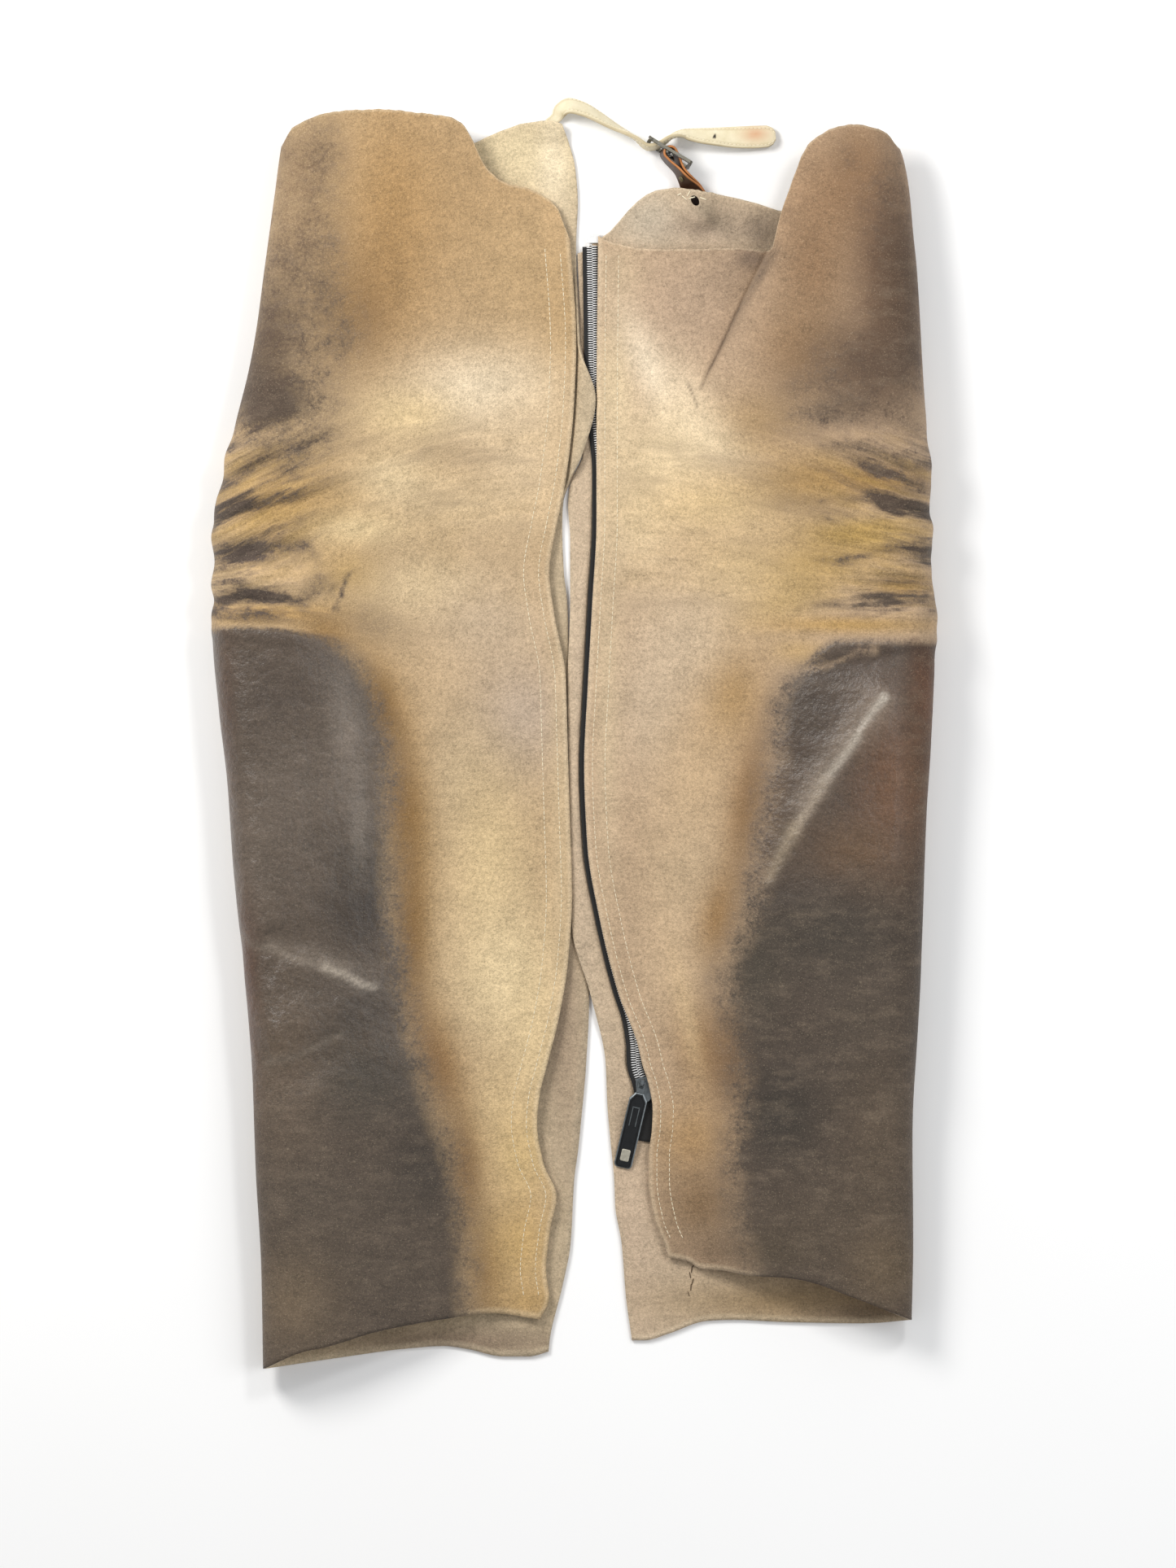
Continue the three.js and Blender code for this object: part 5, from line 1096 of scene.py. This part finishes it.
# %% Stitches on the legs
def edge_line(leg, inward, low, high):
    along = np.linspace(low, high, 700)
    out = out_of(leg, "front", along) + inward
    z = EDGE_LEVEL + read(FRONT_LIFT, along) * LEATHER + read(BAND, inward / TEETH_WIDTH) * LEATHER
    return np.stack([leg["side"] * out, (along - .5) * LEG_LENGTH, z + LEATHER / 2 + .05], axis=1) + MOVE


STITCHED = [(LEFT, 8.5, .06, .885), (LEFT, 20.5, .06, .89),
            (RIGHT, 6.5, .105, .885), (RIGHT, 16.5, .105, .885)]


def leg_stitches(pitch=3.9):
    rows = [walked(edge_line(*row), pitch) for row in STITCHED]
    made = repeated("edge_stitches", *zip(*rows), (3.0, .62, .5), .3, .18, 9, thread)
    place_in_part(made)


def mend(name, marks, colour):
    """Single stitches on the right back layer; marks are photo x and y and the lean in degrees."""
    places, runs = [], []
    for x, y, lean in marks:
        out, north = (x - PHOTO_X) * PIXEL, (PHOTO_Y - y) * PIXEL
        z = float(back_height(RIGHT, north / LEG_LENGTH + .5, out)) + LEATHER / 2 + .1
        places.append(np.array([out, north, z]) + MOVE)
        runs.append([math.sin(math.radians(lean)), math.cos(math.radians(lean)), 0])
    place_in_part(repeated(name, places, runs, (5.0, .8, .6), .3, .25, 3, colour))


# Painted shade: the hem mend's dark thread stands for the shade of the slit.
mend("hem_mend", [(850, 1560, 8), (848, 1567, -10), (851, 1575, 14), (849, 1582, 4), (853, 1554, 30),
                  (846, 1590, -20)], slit_shade_thread)
mend("hole_threads", [(836, 238, 60), (841, 243, -50), (846, 238, 30), (850, 243, 75),
                      (864, 244, -70)], thread)
leg_stitches()

# %% [markdown]
# The strap runs from the left leg's corner through the buckle to its free end. It is a
# loft: a rounded section is set at each place of a smooth curve and rolled with it. The
# buckle's own directions give the places where the strap is threaded through it.

# %% The buckle's directions and a loft
STRAP_SPAN, STRAP_WIDTH, STRAP_THICK = .6263 * LEG_REACH, 18.5, 3.4
BUCKLE_LENGTH, BUCKLE_WIDTH, BUCKLE_THICK, BUCKLE_BAR = 40.0, 26.0, 2.6, 3.1
SEAM_IN = 2.3                    # from the strap's edge in to its stitches
heading, tilt = math.radians(-31), math.radians(78)
strap_root = np.array([-.072 * LEG_REACH, (.9885 - .5) * LEG_LENGTH, 0.0]) + MOVE
buckle_level = BUCKLE_WIDTH / 2 * math.sin(tilt) + BUCKLE_THICK / 2 + SEAT
buckle_middle = strap_root + np.array([.531 * STRAP_SPAN, -.131 * STRAP_SPAN, buckle_level])
buckle_along = np.array([math.cos(heading), math.sin(heading), 0.0])
level_north = np.array([-math.sin(heading), math.cos(heading), 0.0])


def unit(vector):
    return vector / np.linalg.norm(vector)


def smooth_curve(points, between):
    """Catmull-Rom through points, with steps that follow their distances."""
    points = np.array(points, float)
    ends = np.concatenate([[2 * points[0] - points[1]], points, [2 * points[-1] - points[-2]]])
    fine = []
    for k in range(len(points) - 1):
        a, b, c, d = ends[k:k + 4]
        t0, t1, t2 = (max(np.linalg.norm(q - p), 1e-6) ** .5 for p, q in ((a, b), (b, c), (c, d)))
        into = ((b - a) / t0 - (c - a) / (t0 + t1) + (c - b) / t1) * t1
        away = ((c - b) / t1 - (d - b) / (t1 + t2) + (d - c) / t2) * t1
        for t in np.arange(between) / between:
            fine.append(b + into * t + (3 * (c - b) - 2 * into - away) * t * t
                        + (2 * (b - c) + into + away) * t**3)
    fine.append(points[-1])
    return np.array(fine)


ACROSS = np.array([-1, -.985, -.95, -.9, -.84, -.78, -.72, -.5, -.25, 0,
                   .25, .5, .72, .78, .84, .9, .95, .985])


def section_ring(centre, across, through, width, thick, groove):
    """A rounded flat section, with a shallow groove where the stitches lie."""
    across_shares = np.concatenate([ACROSS, -ACROSS])
    faces = np.concatenate([np.ones(len(ACROSS)), -np.ones(len(ACROSS))])
    height = thick / 2 * np.sqrt(np.clip(1 - np.abs(across_shares) ** 10, 0, 1))
    inward = width / 2 * (1 - np.abs(across_shares))
    height = height - groove * np.exp(-((inward - SEAM_IN) / .7) ** 2)
    return (centre + across_shares[:, None] * across * width / 2 + (faces * height)[:, None] * through,
            across_shares)


def loft(name, rings):
    """Joins closed rings of points to one closed body."""
    around = len(rings[0])
    faces = []
    for k in range(len(rings) - 1):
        for m in range(around):
            a, b = k * around + m, k * around + (m + 1) % around
            faces.append((a, b, b + around, a + around))
    faces.append(tuple(reversed(range(around))))
    faces.append(tuple(range((len(rings) - 1) * around, len(rings) * around)))
    made = mesh_object(name, np.concatenate(rings) * MM, faces)
    work = bmesh.new()
    work.from_mesh(made.data)
    bmesh.ops.recalc_face_normals(work, faces=work.faces)
    work.to_mesh(made.data)
    work.free()
    return made


print("buckle's middle in millimetres:", buckle_middle.round(1))

# %% [markdown]
# Each row of the strap says how far along and out its middle is, how far it is rolled
# from lying flat, in degrees, and how much of its full width is left. The rows at its
# two ends lie on the floor, and those between are set from the buckle.

# %% The strap
STRAP_START = [(0, 0, 0, .42), (.036, .029, 5, .48), (.058, .063, 34, .72), (.093, .079, 52, 1),
               (.151, .065, 57, 1), (.205, .038, 65, 1), (.262, .004, 73, 1), (.316, -.027, 82, 1)]
STRAP_THREADING = [(-.7, -.95, 95, 1), (-.425, -1.2, 102, 1), (-.265, .47, 102, .95), (-.138, 3.38, 96, 1)]
STRAP_END = [(.596, -.047, 70, 1), (.675, -.053, 52, 1), (.74, -.057, 42, 1), (.812, -.06, 26, 1),
             (.901, -.059, 12, 1), (.965, -.056, 8, .96), (.99, -.055, 8, .72), (1, -.055, 8, .4)]
STRAP_STEPS = 14


def lying_rows(rows):
    for east, north, roll, share in rows:
        turn = math.radians(roll)
        low = STRAP_WIDTH * share / 2 * math.sin(turn) + STRAP_THICK / 2 * math.cos(turn) + 2 * SEAT
        yield strap_root + np.array([east * STRAP_SPAN, north * STRAP_SPAN, low]), roll, share


def threaded_rows(rows):
    for along, out, roll, share in rows:
        spot = buckle_middle + buckle_along * along * BUCKLE_LENGTH + level_north * out * STRAP_THICK
        yield spot, roll, share


def make_sections():
    """Centre, direction across, upper face's direction and width share of each section."""
    rows = [*lying_rows(STRAP_START), *threaded_rows(STRAP_THREADING), *lying_rows(STRAP_END)]
    line = smooth_curve([row[0] for row in rows], STRAP_STEPS)
    at = np.arange(len(line)) / STRAP_STEPS
    rolls, shares = (np.interp(at, range(len(rows)), [row[k] for row in rows]) for k in (1, 2))
    for centre, ahead, roll, share in zip(line, np.gradient(line, axis=0), rolls, shares):
        forward = unit(ahead)
        level = unit(np.array([-forward[1], forward[0], 0]))
        upright = -np.cross(level, forward)
        turn = -math.radians(roll)
        across = level * math.cos(turn) + upright * math.sin(turn)
        yield centre, across, unit(np.cross(forward, across)), share


def build_strap(sections):
    rings, near = [], []
    for centre, across, through, share in sections:
        ring, u = section_ring(centre, across, through, STRAP_WIDTH * share, STRAP_THICK, .2)
        rings.append(ring)
        near.append(np.abs(u))
    made = loft("cream_strap", rings)
    points = np.concatenate(rings) - MOVE
    x, y = points[:, 0] / PIXEL + PHOTO_X, PHOTO_Y - points[:, 1] / PIXEL
    near = np.concatenate(near)
    # Painted shade: a dark dot at (878, 168) stands for the shade inside a small hole in the strap.
    layers = {"stain": soft_patch(x, y, 928, 165, 16, 9, 0) * .8,
              "pit": (np.hypot(x - 878, y - 168) < 2.2).astype(float),
              "edge": ease(.9, .99, near), "seam": np.exp(-((near - .75) / .05) ** 2)}
    for key, values in layers.items():
        attribute(made, key, values)
    place_in_part(made, "waist_strap", slot="strap_leather")
    return made


strap_sections = list(make_sections())
strap = build_strap(strap_sections)
strap_line = np.array([row[0] for row in strap_sections])
strap_length = np.linalg.norm(np.diff(strap_line, axis=0), axis=1).sum()
strap_length * MM
print("strap length in millimetres:", round(strap_length, 1))


def strap_material():
    material, graph, shader = new_material("cream_strap_hide", Specular_IOR_Level=.5)
    stain, pit, edge, seam = (stored(graph, name) for name in ("stain", "pit", "edge", "seam"))
    cloud, speck = noise(graph, 130, 4), noise(graph, 900, 3)
    cream = blend_colours(graph, cloud, paint("#CDBE96"), paint("#ECE3C8"))
    cream = blend_colours(graph, edge * .5, cream, paint("#9A8256"))
    cream = blend_colours(graph, seam * .45, cream, paint("#A58F60"))
    cream = blend_colours(graph, stain * (cloud + .4), cream, paint("#C98F66"))
    # Painted shade of the small hole.
    cream = blend_colours(graph, pit, cream, paint("#2A2018"))
    graph.feed(shader.inputs["Base Color"], cream)
    graph.feed(shader.inputs["Roughness"], cloud * .25 + .45)
    graph.feed(shader.inputs["Normal"], bump(graph, speck, .0004, .5))
    return material


strap.data.materials.append(strap_material())


def strap_stitches(pitch=3.2, first=3 * STRAP_STEPS):
    """Two rows on the strap's upper face, from the place where it comes out of the leg."""
    sections = [(centre, across, through * (1 if through[2] > 0 else -1), share)
                for centre, across, through, share in strap_sections[first:]]
    places, runs, ups = [], [], []
    for side in (-1, 1):
        line = np.array([centre + across * side * (STRAP_WIDTH * share / 2 - SEAM_IN)
                         + top * (STRAP_THICK / 2 - .12) for centre, across, top, share in sections])
        spots, ahead = walked(line, pitch)
        places.append(spots)
        runs.append(ahead)
        ups.append([sections[np.argmin(np.linalg.norm(line - spot, axis=1))][2] for spot in spots])
    place_in_part(repeated("strap_stitches", places, runs, (2.5, .75, .6), .3, .1, 5, thread, ups))


strap_stitches()

# %% [markdown]
# The tab is one strip of leather folded round the buckle's bar, with both ends under the
# right leg's back layer. It is lofted as the strap is, down one side, round the bar and
# back up the other. Its face is polished, and its very dark brown is its own colour with
# painted shade, as the tilted face lies in shade. Its cut edges are bare tan.

# %% The tab
TAB_WIDTH, TAB_LEATHER, TAB_TAIL = 16.8, 2.5, 16.0
TAB_ROLLS = [(0, 78), (.3, 70), (.45, 58), (.68, 18), (.85, 4), (1, 0)]
tab_edge = np.array([.331 * LEG_REACH, (.933 - .5) * LEG_LENGTH, 0.0]) + MOVE
tab_run = (tab_edge - buckle_middle) * np.array([1, 1, 0])
tab_length = np.linalg.norm(tab_run) + TAB_TAIL
tab_forward = unit(tab_run)
tab_left = np.array([-tab_forward[1], tab_forward[0], 0.0])
LOOP_RADIUS = BUCKLE_BAR + 2 * SEAT + TAB_LEATHER / 2


def tab_frame(run):
    roll = math.radians(float(read(TAB_ROLLS, run)))
    low = TAB_WIDTH / 2 * math.sin(roll) + (TAB_LEATHER + SEAT) * math.cos(roll) + SEAT / 2
    high = buckle_level + (low - buckle_level) * float(ease(.36, .6, run))
    centre = buckle_middle * np.array([1, 1, 0]) + tab_forward * run * tab_length
    centre[2] = max(high, low)
    across = tab_left * math.cos(roll) + np.array([0, 0, math.sin(roll)])
    return centre, across, unit(np.cross(tab_forward, across))


def build_tab():
    rings, near = [], []

    def add_ring(centre, across, through):
        ring, u = section_ring(centre, across, through, TAB_WIDTH, TAB_LEATHER, .12)
        rings.append(ring)
        near.append(np.abs(u))

    def apart(run):
        return LOOP_RADIUS + (TAB_LEATHER / 2 + SEAT / 2 - LOOP_RADIUS) * float(ease(0, .34, run))

    for run in np.linspace(1, .1, 40):
        centre, across, through = tab_frame(run)
        add_ring(centre + through * apart(run), across, through)
    bar_centre, bar_across, bar_through = tab_frame(0)
    for angle in np.radians(np.linspace(0, 180, 14)):
        through = bar_through * math.cos(angle) - tab_forward * math.sin(angle)
        add_ring(bar_centre + through * LOOP_RADIUS, bar_across, through)
    for run in np.linspace(.1, 1, 40):
        centre, across, through = tab_frame(run)
        add_ring(centre - through * apart(run), across, -through)
    made = loft("brown_tab", rings)
    attribute(made, "edge", ease(.86, .97, np.concatenate(near)))
    place_in_part(made, "buckle_tab", slot="tab_leather")
    material, graph, shader = new_material("brown_tab_hide", Specular_IOR_Level=.5)
    edge = stored(graph, "edge")
    cloud, speck = noise(graph, 200, 4), noise(graph, 1100, 3)
    # Painted shade: the face's colours are darkened for the shade that the tilted face lies in.
    face = blend_colours(graph, cloud, paint("#1E130C"), paint("#4A2C1A"))
    cut = blend_colours(graph, cloud, paint("#A4602C"), paint("#D08C50"))
    graph.feed(shader.inputs["Base Color"], blend_colours(graph, edge, face, cut))
    graph.feed(shader.inputs["Roughness"], cloud * .3 + .3)
    graph.feed(shader.inputs["Normal"], bump(graph, speck, .0003, .5))
    made.data.materials.append(material)
    return made


tab = build_tab()

# %% [markdown]
# The puller is a cast plate that hangs on the slider's arch. Its outline is drawn once
# and then repeated smaller and higher: that gives the bevel, the raised rim and the
# sunk field. A neck with the hole for the arch, a raised loop and a bare pad are added.

# %% The puller
PIVOT = np.array(frame["record"]["behaviour"]["joints"][0]["pos_m"]) / MM
PULLER_LENGTH, PULLER_WIDTH, PULLER_NECK, PULLER_PLATE = 70.0, 14.5, 6.2, 2.0
TAIL_REACH = 16.0                # from the hinge to the end of the slider's tail
turn_z = math.radians(13.3)
slope = math.atan((CHAIN_LEVEL + SLIDER_RISE + SLIDER_TOP - LEATHER) / (PULLER_LENGTH - TAIL_REACH))
pull_x = np.array([math.cos(turn_z), -math.sin(turn_z), 0.0])
pull_y = np.array([math.sin(turn_z) * math.cos(slope), math.cos(turn_z) * math.cos(slope), math.sin(slope)])
pull_z = np.cross(pull_x, pull_y)


def stepped_plate(work, outline, steps, slot, bevel_slot=None):
    """Closed body from one outline: steps are (how far in, height), the third side a bevel."""
    outline = np.array(outline, float)
    middle = outline.mean(axis=0)
    half = (outline.max(axis=0) - outline.min(axis=0)) / 2
    rings = []
    for inward, height in steps:
        loop = middle + (outline - middle) * (1 - inward / half)
        rings.append([work.verts.new(tuple((PIVOT + pull_x * x + pull_y * y + pull_z * height) * MM))
                      for x, y in loop])
    for step, (low, high) in enumerate(zip(rings, rings[1:])):
        used = bevel_slot if bevel_slot is not None and step == 2 else slot
        for k in range(len(low)):
            following = (k + 1) % len(low)
            work.faces.new((low[k], low[following], high[following], high[k])).material_index = used
    work.faces.new(list(reversed(rings[0]))).material_index = slot
    work.faces.new(rings[-1]).material_index = slot


def rounded(x0, y0, x1, y1, corner, steps=4):
    """Outline of a box with round corners, anticlockwise."""
    corners = ((x1 - corner, y0 + corner, -90), (x1 - corner, y1 - corner, 0),
               (x0 + corner, y1 - corner, 90), (x0 + corner, y0 + corner, 180))
    return [(cx + corner * math.cos(math.radians(a + 90 * k / steps)),
             cy + corner * math.sin(math.radians(a + 90 * k / steps)))
            for cx, cy, a in corners for k in range(steps + 1)]


def build_puller():
    work = bmesh.new()
    half, neck, thick = PULLER_WIDTH / 2, PULLER_NECK / 2, PULLER_PLATE / 2
    full, shoulder = -PULLER_LENGTH * .2, -PULLER_LENGTH * .12
    corners = rounded(-half, -PULLER_LENGTH, half, full, 3.2)
    lower = corners[15:] + corners[:5]
    outline = [*lower, (half, full), (neck, shoulder), (-neck, shoulder), (-half, full)]
    plate_steps = [(.5, -thick), (0, -thick + .4), (0, thick - .55), (.9, thick - .1), (1.9, thick - .1),
                   (2.3, thick - .6)]
    block_steps = [(.2, -thick), (0, -thick + .2), (0, thick - .2), (.2, thick)]
    pad_steps = [(0, thick - .7), (0, thick - .25), (.5, thick)]
    loop_steps = [(0, thick - .7), (0, thick - .3), (.2, thick - .1)]
    stepped_plate(work, outline, plate_steps, 0, 1)
    for block in ((-neck, shoulder, neck, -4.6), (-neck, -1, neck, 1), (-neck, -4.7, -1.6, -.9),
                  (1.6, -4.7, neck, -.9)):
        stepped_plate(work, rounded(*block, .35, 2), block_steps, 1)
    stepped_plate(work, rounded(-3.4, -64.5, 3.6, -55, 1.2), pad_steps, 2)
    for bar in ((-3, -36, -2.1, -20), (2.1, -36, 3, -20), (-3, -21, 3, -20.1)):
        stepped_plate(work, rounded(*bar, .4, 2), loop_steps, 1)
    made = mesh_object("dark_puller", [], [])
    work.to_mesh(made.data)
    work.free()
    for finish in (enamel, dull_metal, bare_zinc):
        made.data.materials.append(finish)
    place_in_part(made, "right_zip_pull", slot="puller_metal", body="right_puller")
    return made


puller = build_puller()
print("puller faces:", len(puller.data.polygons))
